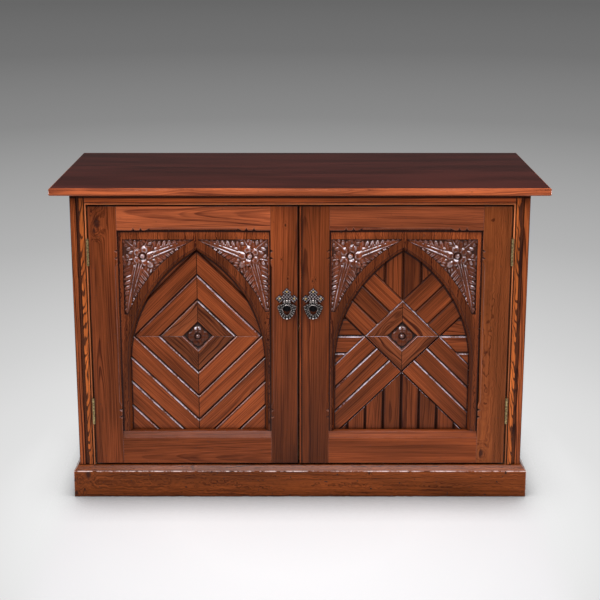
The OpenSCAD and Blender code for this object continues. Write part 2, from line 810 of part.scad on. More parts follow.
module frame_leaf() {
  difference() {
    hinge_leaf(open_half, open_half + leaf_thick, [0, 2, 4], hinge_pin_r);
    for (level = hinge_levels, dz = screw_offsets)
      translate([open_half - 0.01, screw_y, level + dz]) rotate([0, 90, 0])
        cylinder(h = leaf_thick + 0.02, r1 = 3.12, r2 = 1.6, $fn = 24);
  }
}

module door_leaf() {
  difference() {
    hinge_leaf(door_edge - leaf_thick, door_edge, [1, 3], hinge_pin_r + running);
    for (level = hinge_levels, dz = screw_offsets)
      translate([door_edge + 0.01, screw_y, level + dz]) rotate([0, -90, 0])
        cylinder(h = leaf_thick + 0.02, r1 = 3.12, r2 = 1.6, $fn = 24);
  }
}

module frame_hinge_leaves() { color(brass) both_sides() frame_leaf(); }
module left_door_hinge_leaves() { color(brass) mirror([1, 0, 0]) door_leaf(); }
module right_door_hinge_leaves() { color(brass) door_leaf(); }

module hinge_pins() {
  color(brass) both_sides() for (level = hinge_levels)
    translate([hinge_x, hinge_y, level - hinge_height / 2 - 1]) {
      cylinder(h = hinge_height + 2, r = hinge_pin_r, $fn = 32);
      for (z = [0, hinge_height + 1]) translate([0, 0, z]) cylinder(h = 1, r = 2.8, $fn = 32);
    }
}

module frame_hinge_screws() { color(brass) both_sides() screw(open_half, 1); }
module left_door_hinge_screws() { color(brass) mirror([1, 0, 0]) screw(door_edge, -1); }
module right_door_hinge_screws() { color(brass) screw(door_edge, -1); }

// Handles

// Lattice plate of diamonds with two ears for the pivot
module handle_plate() {
  color(pewter) translate([handle_out, 0, handle_level]) difference() {
    union() {
      slab(face - plate_thick, face) difference() {
        union() {
          for (p = [[-20.5, 5], [20.5, 5]]) translate(p) rotate(45) square(16, center = true);
          translate([0, 23]) rotate(45) square(18, center = true);
          translate([0, 7]) rotate(45) square(27, center = true);
        }
        for (p = [[-9.5, 11], [9.5, 11], [-4.5, 17], [4.5, 17]]) translate(p) rotate(45) square(4, center = true);
      }
      both_sides() {
        rod_x(8, 11, pivot_y, 0, 4.5);
        box([8, pivot_y, -4], [11, face - plate_thick + 0.5, 4]);
      }
    }
    rod_x(-13, 13, pivot_y, 0, 2);
    for (p = nail_spots) rod_y(p[0], p[1], face - 6, face + 1, 0.9, 0.9);
  }
}

module handle_pivot() {
  color(pewter) translate([handle_out, 0, handle_level]) {
    rod_x(-12, 12, pivot_y, 0, 2);
    both_sides() rod_x(11, 12.4, pivot_y, 0, 3);
  }
}

module handle_ring() {
  outline = [[7.5, -4], [7.5, -7], [13, -9], [20, -11], [27.5, -17.5], [25, -22], [23.5, -28],
             [20.5, -39.5], [15.5, -49], [8, -52], [0, -52.4]];
  y0 = pivot_y - ring_thick / 2;
  color(pewter) translate([handle_out, 0, handle_level]) difference() {
    union() {
      rod_x(-7.5, 7.5, pivot_y, 0, 4);
      slab(y0, y0 + ring_thick) difference() {
        polygon(concat(outline, [for (i = [len(outline) - 2 : -1 : 0]) [-outline[i][0], outline[i][1]]],
                       [[-7.5, -1], [7.5, -1]]));
        translate([0, -24]) circle(r = 12, $fn = 40);
        polygon([[-10, -29], [10, -29], [8.5, -38], [0, -42], [-8.5, -38]]);
      }
    }
    rod_x(-9, 9, pivot_y, 0, 2 + running);
  }
}

module handle_nails() {
  color(brass) translate([handle_out, 0, handle_level]) for (p = nail_spots) {
    rod_y(p[0], p[1], face - plate_thick - 0.5, face + 8, 0.9, 0.9);
    rod_y(p[0], p[1], face - plate_thick - 1.4, face - plate_thick, 1.2, 2.4);
  }
}

module handle_nail_bores(y0, y1) {
  translate([handle_out, 0, handle_level]) for (p = nail_spots) rod_y(p[0], p[1], y0, face + 8, 0.9, 0.9);
}

module left_handle_plate() { mirror([1, 0, 0]) handle_plate(); }
module left_handle_pivot() { mirror([1, 0, 0]) handle_pivot(); }
module left_handle_ring() { mirror([1, 0, 0]) handle_ring(); }
module left_handle_nails() { mirror([1, 0, 0]) handle_nails(); }
module right_handle_plate() { handle_plate(); }
module right_handle_pivot() { handle_pivot(); }
module right_handle_ring() { handle_ring(); }
module right_handle_nails() { handle_nails(); }

// Pieces to show
top_board();
left_side();
right_side();
bottom_board();
shelf();
shelf_cleats();
back_boards();
rear_top_rail();
left_corner_upright();
right_corner_upright();
head_rail();
opening_beads();
plinth_front();
plinth_left();
plinth_right();
plinth_back();
glue_blocks();
door_stops();
friction_plates();
left_door_hinge_stile();
left_door_meeting_stile();
left_door_top_rail();
left_door_bottom_rail();
left_door_outer_spandrel();
left_door_inner_spandrel();
left_door_diamond_boards();
left_door_upper_chevrons();
left_door_lower_chevrons();
left_door_boss();
left_door_backing_boards();
left_door_friction_stud();
right_door_hinge_stile();
right_door_meeting_stile();
right_door_top_rail();
right_door_bottom_rail();
right_door_outer_spandrel();
right_door_inner_spandrel();
right_door_diamond_boards();
right_door_upright_boards();
right_door_level_boards();
right_door_raking_boards();
right_door_boss();
right_door_backing_boards();
right_door_friction_stud();
frame_hinge_leaves();
left_door_hinge_leaves();
right_door_hinge_leaves();
hinge_pins();
frame_hinge_screws();
left_door_hinge_screws();
right_door_hinge_screws();
left_handle_plate();
left_handle_pivot();
left_handle_ring();
left_handle_nails();
right_handle_plate();
right_handle_pivot();
right_handle_ring();
right_handle_nails();
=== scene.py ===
"""The looks of a storage cupboard in polished pitch pine, with carved arches and cast handles."""

import json
import math
import random

import bmesh
import bpy
import numpy as np
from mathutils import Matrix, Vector


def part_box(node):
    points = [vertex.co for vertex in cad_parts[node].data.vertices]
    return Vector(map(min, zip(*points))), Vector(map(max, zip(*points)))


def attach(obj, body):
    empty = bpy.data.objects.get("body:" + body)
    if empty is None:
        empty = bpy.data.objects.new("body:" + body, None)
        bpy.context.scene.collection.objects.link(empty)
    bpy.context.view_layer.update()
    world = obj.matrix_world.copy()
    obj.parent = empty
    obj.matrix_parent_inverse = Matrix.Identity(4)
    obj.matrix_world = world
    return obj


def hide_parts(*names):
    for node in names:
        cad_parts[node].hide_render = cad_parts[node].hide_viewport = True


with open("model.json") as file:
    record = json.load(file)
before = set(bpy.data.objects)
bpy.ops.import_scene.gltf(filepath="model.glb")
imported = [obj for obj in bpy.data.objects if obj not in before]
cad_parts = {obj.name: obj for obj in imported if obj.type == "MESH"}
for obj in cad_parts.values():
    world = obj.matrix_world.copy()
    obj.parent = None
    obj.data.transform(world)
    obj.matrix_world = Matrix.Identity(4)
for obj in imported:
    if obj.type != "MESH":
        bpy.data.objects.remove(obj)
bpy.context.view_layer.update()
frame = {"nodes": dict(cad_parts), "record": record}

MM = 0.001

# Places on the doors, in metres. Both arches lie as far from the middle, so the right one serves for both
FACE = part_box("left_door_hinge_stile")[0].y
BOARD_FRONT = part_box("left_door_diamond_boards")[0].y
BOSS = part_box("right_door_boss")
ARCH = (BOSS[0].x + BOSS[1].x) / 2
PATTERN = (BOSS[0].z + BOSS[1].z) / 2
PANEL_SIDES = (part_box("right_door_inner_spandrel")[0].x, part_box("right_door_outer_spandrel")[1].x)
PANEL_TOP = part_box("right_door_inner_spandrel")[1].z
LAP = 0.01
DOOR_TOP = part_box("left_door_hinge_stile")[1].z
DOOR_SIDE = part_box("right_door_hinge_stile")[1].x
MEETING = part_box("left_door_meeting_stile")[1].x
BEAD_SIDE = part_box("right_door_meeting_stile")[0].x
HANDLE = (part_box("right_handle_ring")[0].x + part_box("right_handle_ring")[1].x) / 2
LATTICE_LEVEL = 0.5865
LATTICE_GAP = 0.0088
RING_LEVEL = 0.566
ROPE_CUTS = 20

# An arch is drawn from centres this far beyond its middle line, at the level of its springing
ARCH_POINT = 0.192
SPRING = 0.398
ARCH_SHADOW = 0.335
ARCH_BAND = 0.416

# The strip of a corner upright with flames in its grain: its middle, half its width and the rise of a flame
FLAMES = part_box("right_corner_upright")[1].x - 0.0325
FLAMES_HALF = 0.0065
FLAME_RISE = 0.044

UNDER_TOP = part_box("top_board")[0].z
PLINTH_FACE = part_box("plinth_front")[0].y - 0.001
# Near black, for painted shade in corners, gaps and grooves
SHADE_BLACK = (0.018, 0.007, 0.005, 1)


# Node helpers: each finds its tree from a socket that it is given

def feed(socket, value):
    """Links an output to a socket, or sets a plain value on it."""
    if isinstance(value, bpy.types.NodeSocket):
        socket.id_data.links.new(value, socket)
    else:
        socket.default_value = value


def feed_all(inputs, **values):
    """Feeds sockets by their names. Underscores in a name stand for spaces."""
    for label, value in values.items():
        feed(inputs[label.replace("_", " ")], value)


def node_for(kind, values, order=(0, 1, 2, 3, 4), **settings):
    """A node in the tree of its values, which feed its inputs in order."""
    tree = next(value.id_data for value in values if isinstance(value, bpy.types.NodeSocket))
    node = tree.nodes.new("ShaderNode" + kind)
    for setting, value in settings.items():
        setattr(node, setting, value)
    for number, value in zip(order, values):
        feed(node.inputs[number], value)
    return node


def calc(operation, *values, clamp=False):
    """A math node, with its values in order."""
    return node_for("Math", values, operation=operation, use_clamp=clamp).outputs[0]


def stretch(vector, scale):
    """A vector times a scale on each axis."""
    return node_for("VectorMath", (vector, scale), operation="MULTIPLY").outputs[0]


def shift(vector, amount):
    """A vector moved by another."""
    return node_for("VectorMath", (vector, amount), operation="ADD").outputs[0]


def reach_of(vector):
    """The length of a vector."""
    return node_for("VectorMath", (vector,), operation="LENGTH").outputs["Value"]


def split(vector):
    """The three parts of a vector."""
    return node_for("SeparateXYZ", (vector,)).outputs


def cloud(vector, scale, detail, roughness=0.5):
    """A noise texture from 0 to 1."""
    node = node_for("TexNoise", (vector,))
    feed_all(node.inputs, Scale=scale, Detail=detail, Roughness=roughness)
    return node.outputs["Fac"]


def ease(value, low, high, to_low=0.0, to_high=1.0):
    """A smooth step of a value from one range to another."""
    node = node_for("MapRange", (value, low, high, to_low, to_high), interpolation_type="SMOOTHSTEP")
    return node.outputs["Result"]


def blend_colour(amount, first, second, how="MIX"):
    """One colour mixed into another."""
    node = node_for("Mix", (amount, first, second), (0, 6, 7), data_type="RGBA", blend_type=how)
    return node.outputs[2]


def from_half(value):
    """How far the fraction of a value lies from a half."""
    return calc("ABSOLUTE", calc("SUBTRACT", calc("FRACT", value), 0.5))


def swing(vector, scale, detail=2.0, roughness=0.5):
    """A noise texture from -0.5 to 0.5."""
    return calc("SUBTRACT", cloud(vector, scale, detail, roughness), 0.5)


def new_group(name, inputs, outputs):
    """An empty shader group with its sockets, as kinds by name."""
    tree = bpy.data.node_groups.new(name, "ShaderNodeTree")
    for way, sockets in (("INPUT", inputs), ("OUTPUT", outputs)):
        for label, kind in sockets.items():
            tree.interface.new_socket(label, in_out=way, socket_type="NodeSocket" + kind)
    start = tree.nodes.new("NodeGroupInput")
    end = tree.nodes.new("NodeGroupOutput")
    return tree, start.outputs, end.inputs


def use_group(tree, group, **values):
    """Places a group in a material, with its inputs by name."""
    node = tree.nodes.new("ShaderNodeGroup")
    node.node_tree = group
    feed_all(node.inputs, **values)
    return node.outputs


def attribute(tree, name, output="Fac"):
    """Reads a piece's own attribute."""
    node = tree.nodes.new("ShaderNodeAttribute")
    node.attribute_name = name
    return node.outputs[output]


def object_place(tree):
    """The place on the object, in metres."""
    return tree.nodes.new("ShaderNodeTexCoord").outputs["Object"]


def crevices(tree, reach):
    """How open the surface is to what surrounds it: 1 in the open and 0 deep in a corner."""
    node = tree.nodes.new("ShaderNodeAmbientOcclusion")
    node.samples = 4
    node.inputs["Distance"].default_value = reach
    return node.outputs["AO"]


def new_material(name):
    """An empty material with one Principled shader."""
    material = bpy.data.materials.new(name)
    material.use_nodes = True
    tree = material.node_tree
    shader = tree.nodes["Principled BSDF"]
    return material, tree, shader


def bump(shader, height, strength, distance):
    """Feeds a height in metres times distance to the shader's normal."""
    node = height.id_data.nodes.new("ShaderNodeBump")
    feed_all(node.inputs, Strength=strength, Distance=distance, Height=height)
    feed(shader.inputs["Normal"], node.outputs["Normal"])


# Effects shared by the finishes

def pitch_pine_group():
    """Growth rings round a tilted heart, with fibres and slow changes of tone."""
    tree, given, result = new_group(
        "pitch pine",
        {"Grain": "Vector", "Ring Spacing": "Float", "Contrast": "Float", "Waviness": "Float",
         "Figure": "Float", "Figure Scale": "Vector", "Tone": "Float", "Early Wood": "Color",
         "Late Wood": "Color"},
        {"Colour": "Color", "Fibre": "Float", "Height": "Float"})
    grain = given["Grain"]
    parts = split(grain)
    slow = swing(stretch(grain, (1.6, 11.0, 11.0)), 1.0)
    quick = swing(stretch(grain, (9.0, 60.0, 60.0)), 1.0)
    drift = calc("ADD", calc("MULTIPLY", slow, 0.026), calc("MULTIPLY", quick, 0.0022))
    curl = calc("MULTIPLY", swing(stretch(grain, given["Figure Scale"]), 1.0, 1.0), given["Figure"])
    distance = calc("SQRT", calc("ADD", calc("POWER", parts[1], 2.0), calc("POWER", parts[2], 2.0)))
    radius = calc("ADD", distance, calc("MULTIPLY_ADD", drift, given["Waviness"], curl))
    across = tree.nodes.new("ShaderNodeCombineXYZ")
    feed(across.inputs[0], radius)
    uneven = swing(across.outputs[0], 55.0, 3.0, 0.6)
    turns = calc("MULTIPLY_ADD", uneven, 7.0, calc("DIVIDE", radius, given["Ring Spacing"]))
    year = tree.nodes.new("ShaderNodeTexWhiteNoise")
    year.noise_dimensions = "1D"
    feed(year.inputs["W"], calc("FLOOR", turns))
    part = calc("FRACT", turns)
    rise = ease(part, 0.3, 0.86)
    fall = ease(part, 0.9, 1.0, 1.0, 0.0)
    late = calc("MULTIPLY", calc("MULTIPLY", rise, fall),
                calc("MULTIPLY_ADD", year.outputs["Value"], 0.75, 0.25))
    fibre = cloud(stretch(grain, (26.0, 1150.0, 1150.0)), 1.0, 3.0, 0.6)
    streak = cloud(stretch(grain, (3.0, 150.0, 150.0)), 1.0, 3.0, 0.6)
    close = swing(stretch(grain, (5.0, 430.0, 430.0)), 1.0)
    streak = calc("MULTIPLY_ADD", close, 0.8, streak)
    broad = cloud(stretch(grain, (2.2, 16.0, 16.0)), 1.0, 3.0)
    amount = calc("MULTIPLY_ADD", late, given["Contrast"],
                  calc("MULTIPLY_ADD", calc("SUBTRACT", streak, 0.5), 1.3, 0.2), clamp=True)
    colour = blend_colour(amount, given["Early Wood"], given["Late Wood"])
    shade = calc("MULTIPLY", ease(broad, 0.3, 0.7, 0.7, 1.26), calc("MULTIPLY_ADD", fibre, 0.6, 0.7))
    shade = calc("MULTIPLY", shade, given["Tone"])
    grey = tree.nodes.new("ShaderNodeCombineColor")
    for channel in ("Red", "Green", "Blue"):
        feed(grey.inputs[channel], shade)
    feed_all(result, Fibre=fibre, Colour=blend_colour(1.0, colour, grey.outputs[0], "MULTIPLY"),
             Height=calc("MULTIPLY_ADD", late, 0.6, calc("MULTIPLY", fibre, 0.4)))
    return tree


def wear_and_light_group():
    """Rubbed arrises and painted highlights, painted shade in the grooves and corners, and scattered knocks.
    """
    tree, given, result = new_group(
        "rubbed and gathered polish",
        {"Colour": "Color", "Edge": "Float", "Place": "Vector", "Rubbed": "Color", "Rub": "Float",
         "Grime": "Float", "Knocks": "Float", "Open": "Float"},
        {"Colour": "Color", "Dull": "Float", "Dent": "Float"})
    patches = cloud(given["Place"], 26.0, 3.0, 0.6)
    fine = cloud(given["Place"], 240.0, 2.0, 0.6)
    places = calc("MULTIPLY_ADD", fine, 0.35, calc("MULTIPLY", patches, 0.65))
    # The rubbed colour: wear on arrises, and painted highlights on faces marked as catching the light
    worn = calc("MULTIPLY", ease(given["Edge"], 0.1, 0.9), ease(places, 0.38, 0.62))
    worn = calc("MULTIPLY", worn, given["Rub"])
    # Painted shade: where the ambient occlusion finds a corner, and on faces marked below 0
    corner = ease(calc("MULTIPLY_ADD", patches, 0.15, given["Open"]), 0.5, 0.93, 1.0, 0.0)
    groove = ease(given["Edge"], -0.9, -0.1, 1.0, 0.0)
    dark = calc("MULTIPLY", calc("MAXIMUM", groove, corner), given["Grime"])
    knocks = calc("MULTIPLY", ease(cloud(given["Place"], 95.0, 1.0), 0.71, 0.76), given["Knocks"])
    colour = blend_colour(worn, given["Colour"], given["Rubbed"])
    colour = blend_colour(dark, colour, SHADE_BLACK)
    colour = blend_colour(knocks, colour, (0.03, 0.01, 0.006, 1))
    feed_all(result, Colour=colour, Dull=calc("ADD", worn, knocks, clamp=True), Dent=knocks)
    return tree


def knot_group():
    """A knot: how far it pushes the grain aside round its place, and a dark heart."""
    tree, given, result = new_group(
        "knot", {"Place": "Vector", "Centre": "Vector", "Size": "Float"},
        {"Push": "Float", "Heart": "Float"})
    off = node_for("VectorMath", (given["Place"], given["Centre"]), operation="SUBTRACT").outputs[0]
    away = calc("DIVIDE", reach_of(stretch(off, (1.0, 0.3, 0.55))), given["Size"])
    away = calc("MULTIPLY_ADD", swing(given["Place"], 160.0), 0.5, away)
    feed_all(result, Push=calc("MULTIPLY", ease(away, 0.0, 3.2, 1.0, 0.0), 0.011),
             Heart=ease(away, 0.35, 1.1, 1.0, 0.0))
    return tree


def shade_group():
    """Painted shade lines under the top, round the doors and panels and along the arches."""
    tree, given, result = new_group(
        "gathered lines", {"Place": "Vector"},
        {"Top": "Float", "Gap": "Float", "Frame": "Float", "Arch": "Float"})
    parts = split(given["Place"])
    aside = calc("ABSOLUTE", parts[0])
    up = parts[2]
    top = ease(calc("SUBTRACT", UNDER_TOP, up), 0.014, 0.0175, 1.0, 0.0)
    head = calc("SUBTRACT", DOOR_TOP, up)
    side = calc("SUBTRACT", DOOR_SIDE, aside)
    meeting = calc("ABSOLUTE", calc("SUBTRACT", parts[0], MEETING))
    nearest = calc("MINIMUM", calc("MINIMUM", head, side), meeting)
    inner = ease(calc("SUBTRACT", aside, PANEL_SIDES[0] + LAP), 0.002, 0.005, 1.0, 0.0)
    outer = ease(calc("SUBTRACT", PANEL_SIDES[1] - LAP, aside), 0.002, 0.005, 1.0, 0.0)
    above = ease(calc("SUBTRACT", PANEL_TOP - LAP, up), 0.0055, 0.0085, 1.0, 0.0)
    across = calc("ADD", calc("ABSOLUTE", calc("SUBTRACT", aside, ARCH)), ARCH_POINT)
    rise = calc("MAXIMUM", calc("SUBTRACT", up, SPRING), 0.0)
    reach = calc("SQRT", calc("ADD", calc("POWER", across, 2.0), calc("POWER", rise, 2.0)))
    width = ease(rise, 0.0, 0.25, 0.003, 0.0075)
    edge = calc("DIVIDE", calc("SUBTRACT", ARCH_EDGE, reach), width)
    feed_all(result, Top=top, Gap=ease(nearest, 0.0014, 0.0028, 1.0, 0.0),
             Frame=calc("MAXIMUM", calc("MAXIMUM", inner, outer), above),
             Arch=ease(edge, 0.55, 1.0, 1.0, 0.0))
    return tree


def arch_edge():
    """How far the inner edge of an arch lies from the middle of its curve."""
    verts = frame["nodes"]["right_door_outer_spandrel"].data.vertices
    return min(math.hypot(abs(v.co.x - ARCH) + ARCH_POINT, v.co.z - SPRING) for v in verts
               if v.co.z > SPRING + 0.01 and v.co.y > BOARD_FRONT - 0.001)


ARCH_EDGE = arch_edge()
pitch_pine = pitch_pine_group()
# Wear, painted highlights and painted shade, shared by the pine finishes
wear = wear_and_light_group()
knot = knot_group()
shadowed = shade_group()


def tongues(place):
    """Dark tongues of late wood up the inner strip of the corner uprights: 1 in a tongue."""
    parts = split(place)
    aside = calc("DIVIDE", calc("SUBTRACT", calc("ABSOLUTE", parts[0]), FLAMES), FLAMES_HALF)
    loose = swing(stretch(place, (36.0, 36.0, 9.0)), 1.0)
    turns = calc("MULTIPLY_ADD", loose, 4.9, calc("DIVIDE", parts[2], FLAME_RISE))
    turns = calc("MULTIPLY_ADD", aside, 0.75, turns)
    turns = calc("MULTIPLY_ADD", calc("POWER", aside, 2.0), -0.3, turns)
    off = calc("MULTIPLY_ADD", aside, -0.07, from_half(turns))
    return ease(off, 0.06, 0.22, 1.0, 0.0)


def polished(name, early, late, spacing=0.0036, contrast=0.7, waviness=1.0, figure=0.003, rough=0.24,
             shine=0.13, rubbed=(0.42, 0.15, 0.075, 1), rub=0.6, shadowing=0.9, knocks=0.25, mark="edge",
             reach=0.018, figure_scale=(10, 26, 26), knots=(), line=None, figure_mask=None):
    """Pitch pine under old polish. Knots are places with a size. A line is one of the painted shade lines.
    The rubbed colour shows wear and painted highlights on faces marked above 0, and the ambient occlusion
    paints shade in corners.
    """
    material, tree, shader = new_material(name)
    grain = attribute(tree, "grain", "Vector")
    dark = 0.0
    for centre, size in knots:
        around = use_group(tree, knot, Place=object_place(tree), Centre=centre, Size=size)
        aside = tree.nodes.new("ShaderNodeCombineXYZ")
        feed(aside.inputs[1], around["Push"])
        feed(aside.inputs[2], around["Push"])
        grain = shift(grain, aside.outputs[0])
        dark = calc("MAXIMUM", dark, around["Heart"])
    wood = use_group(tree, pitch_pine, Grain=grain, Ring_Spacing=spacing, Contrast=contrast,
                     Waviness=waviness, Figure=figure, Figure_Scale=figure_scale,
                     Tone=attribute(tree, "tone"), Early_Wood=early, Late_Wood=late)
    colour = wood["Colour"]
    if figure_mask:
        dark = figure_mask(object_place(tree))
    if knots or figure_mask:
        colour = blend_colour(calc("MULTIPLY", dark, 0.85), colour, (0.03, 0.009, 0.006, 1))
    room = crevices(tree, reach)
    if line:
        room = calc("SUBTRACT", room, use_group(tree, shadowed, Place=object_place(tree))[line])
    worn = use_group(tree, wear, Colour=colour, Edge=attribute(tree, mark), Place=object_place(tree),
                     Rubbed=rubbed, Rub=rub, Grime=shadowing, Knocks=knocks, Open=room)
    uneven = calc("MULTIPLY_ADD", wood["Fibre"], 0.1, rough - 0.05)
    feed_all(shader.inputs, Base_Color=worn["Colour"], Specular_IOR_Level=shine,
             Roughness=calc("MULTIPLY_ADD", worn["Dull"], 0.15, uneven),
             Coat_Weight=ease(attribute(tree, mark), 0.1, 0.3), Coat_Roughness=0.2)
    height = calc("SUBTRACT", wood["Height"], calc("MULTIPLY", worn["Dent"], 2.0))
    bump(shader, height, 0.5, 0.00009)
    return material


PINE = ((0.35, 0.078, 0.02, 1), (0.075, 0.012, 0.0035, 1))
# The joints' lavender rubbed colour is a painted highlight on faces that catch the light; the stiles'
# lighter one paints highlights on the nicks, besides wear on the arrises
JOINTS = {"rubbed": (0.72, 0.57, 0.64, 1), "rub": 1.0, "line": "Arch"}
STILES = {"rubbed": (0.7, 0.42, 0.36, 1), "line": "Gap"}
polished_pine = polished("polished pine", *PINE, contrast=0.6)
rail_pine = polished("polished pine of the top rails", (0.36, 0.088, 0.03, 1), (0.09, 0.018, 0.008, 1),
                     contrast=0.6, waviness=0.6, spacing=0.003, line="Gap")
knotted_pine = polished("knotted polished pine", *PINE, contrast=0.75, **STILES, knots=[
    ((-0.5645, FACE, 0.812), 0.011), ((-0.572, FACE, 0.79), 0.006)])
nailed_pine = polished("polished pine with nail holes", *PINE, contrast=0.6, line="Gap", knots=[
    ((-0.034, FACE, 0.652), 0.0022), ((0.035, FACE, 0.645), 0.0024), ((0.043, FACE, 0.65), 0.002),
    ((-0.041, FACE, 0.806), 0.003), ((-0.052, FACE, 0.708), 0.002)])
curly_pine = polished("curly polished pine", (0.34, 0.086, 0.021, 1), (0.085, 0.015, 0.0045, 1),
                      contrast=0.7, spacing=0.003, figure=0.006, figure_scale=(45, 60, 60), **STILES,
                      knots=[((0.523, FACE, 0.128), 0.0085)])
board_pine = polished("polished board pine", *PINE, contrast=0.75, spacing=0.0032, **JOINTS)
spandrel_pine = polished("polished pine of the arches", *PINE, contrast=1.0, figure=0.01,
                         figure_scale=(60, 90, 90), line="Frame", shadowing=0.94, knocks=0.6)
# Its pale rubbed colour is wear on the arrises and a painted highlight along the front arris
top_pine = polished("polished pine of the top", (0.345, 0.082, 0.028, 1), (0.09, 0.018, 0.008, 1),
                    contrast=0.75, rubbed=(0.9, 0.58, 0.52, 1), rub=0.95)
figured_pine = polished("figured pine", (0.33, 0.084, 0.026, 1), (0.06, 0.011, 0.004, 1), spacing=0.0065,
                        contrast=0.95, waviness=1.5, figure=0.024, figure_scale=(9, 30, 30), **JOINTS)
worn_pine = polished("worn polished pine", (0.395, 0.09, 0.017, 1), (0.07, 0.013, 0.0035, 1),
                     contrast=0.6, waviness=0.7, figure=0.012, figure_scale=(50, 80, 80),
                     rubbed=(0.9, 0.68, 0.62, 1), rub=0.9, knocks=0.95,
                     knots=[((-0.612, PLINTH_FACE, 0.067), 0.009), ((-0.651, PLINTH_FACE, 0.053), 0.004),
                            ((-0.624, PLINTH_FACE, 0.022), 0.004), ((-0.648, PLINTH_FACE, 0.012), 0.006),
                            ((0.2, PLINTH_FACE, 0.074), 0.004), ((-0.31, PLINTH_FACE, 0.089), 0.005)])
flame_pine = polished("flame figured pine", (0.68, 0.17, 0.034, 1), (0.15, 0.026, 0.008, 1),
                      contrast=0.45, line="Top", figure_mask=tongues)
strip_pine = polished("orange polished pine", (0.42, 0.1, 0.026, 1), (0.06, 0.01, 0.0035, 1), spacing=0.003,
                      contrast=0.9, waviness=0.6, line="Top")
sill_pine = polished("polished pine of the sills", *PINE, contrast=0.55, shadowing=0.3,
                     rubbed=(0.58, 0.26, 0.2, 1), rub=0.75)
shaded_pine = polished("polished pine under the top", *PINE, contrast=0.6, reach=0.006, line="Top")
bead_pine = polished("bright beaded pine", (0.62, 0.19, 0.065, 1), (0.3, 0.07, 0.022, 1),
                     contrast=0.5, shadowing=0.15, rubbed=(0.8, 0.4, 0.27, 1), rub=0.8)
# Painted shade for the top's upper face: a near-black copy of the pine
top_face_shade_pine = polished("dark polished pine", (0.05, 0.011, 0.008, 1), (0.02, 0.005, 0.004, 1), contrast=0.6,
                     rough=0.3, shine=0.03, rub=0.25, knocks=0.1)
plain_pine = polished("plain old pine", (0.62, 0.36, 0.18, 1), (0.36, 0.17, 0.075, 1), contrast=0.65,
                      rough=0.62, shine=0.2, rubbed=(0.66, 0.44, 0.26, 1), shadowing=0.5, knocks=0.4)


def pierced(place):
    """A close lattice on the slant: 1 in its small square holes, which are painted dark as shade, and 0 on
    its bars. Both handles share it.
    """
    parts = split(place)
    across = calc("SUBTRACT", calc("ABSOLUTE", parts[0]), HANDLE)
    up = calc("SUBTRACT", parts[2], LATTICE_LEVEL)
    holes = []
    for turn in ("ADD", "SUBTRACT"):
        holes.append(from_half(calc("DIVIDE", calc(turn, across, up), LATTICE_GAP)))
    return ease(calc("MAXIMUM", holes[0], holes[1]), 0.34, 0.42, 1.0, 0.0)


def roped(place):
    """Short cuts round the ring: 1 in the cuts and 0 between them."""
    parts = split(place)
    across = calc("SUBTRACT", calc("ABSOLUTE", parts[0]), HANDLE)
    up = calc("SUBTRACT", parts[2], RING_LEVEL)
    turn = calc("MULTIPLY", calc("ARCTAN2", up, across), ROPE_CUTS / math.tau)
    return ease(from_half(turn), 0.14, 0.28, 1.0, 0.0)


def metal(name, clean, tarnish, rough, size=190.0, pattern=None):
    """Old metal, rubbed bright where it stands proud and dark where dirt gathers."""
    material, tree, shader = new_material(name)
    place = object_place(tree)
    patches = calc("MULTIPLY_ADD", attribute(tree, "edge"), 0.3, cloud(place, size, 4.0, 0.6))
    relief = cloud(place, 500.0, 3.0)
    # A pattern's sunk places are painted darker; the holes of the pierced plates near black, as painted
    # shade
    if pattern:
        sunk = pattern(place)
        patches = calc("SUBTRACT", patches, calc("MULTIPLY_ADD", sunk, 0.5, -0.12))
        relief = calc("SUBTRACT", relief, calc("MULTIPLY", sunk, 2.5))
    feed_all(shader.inputs, Metallic=ease(patches, 0.38, 0.5), Specular_IOR_Level=0.15,
             Base_Color=blend_colour(ease(patches, 0.4, 0.62), tarnish, clean),
             Roughness=ease(patches, 0.3, 0.7, rough + 0.15, rough - 0.1))
    bump(shader, relief, 0.5, 0.0005)
    return material


dull_brass = metal("dull brass", (0.55, 0.43, 0.2, 1), (0.17, 0.12, 0.055, 1), 0.4)
bright_brass = metal("rubbed brass", (0.85, 0.6, 0.22, 1), (0.5, 0.33, 0.1, 1), 0.32)
dark_casting = metal("dark bronzed casting", (0.014, 0.012, 0.012, 1), (0.004, 0.003, 0.004, 1), 0.45, 330.0)
pierced_casting = metal("pierced casting", (0.54, 0.45, 0.45, 1), (0.004, 0.003, 0.004, 1), 0.36, 150.0,
                        pierced)
roped_casting = metal("roped casting", (0.46, 0.41, 0.39, 1), (0.006, 0.005, 0.005, 1), 0.38, 300.0, roped)


# Wooden pieces: copies of the frame's boards with softened arrises and a grain of their own

def islands(bm):
    """The separate boards of a mesh, as lists of vertices, from left to right and from the floor up.

    Where two start from one corner, the one that ends nearer to the level of the bosses comes first.
    """
    left = set(bm.verts)
    found = []
    while left:
        group = [left.pop()]
        for vert in group:
            for edge in vert.link_edges:
                other = edge.other_vert(vert)
                if other in left:
                    left.remove(other)
                    group.append(other)
        found.append(group)
    return sorted(found, key=lambda group: [round(v, 4) for v in low_corner(group)]
                  + [abs(high_corner(group)[2] - PATTERN)])


def low_corner(verts):
    return [min(v.co[i] for v in verts) for i in range(3)]


def high_corner(verts):
    return [max(v.co[i] for v in verts) for i in range(3)]


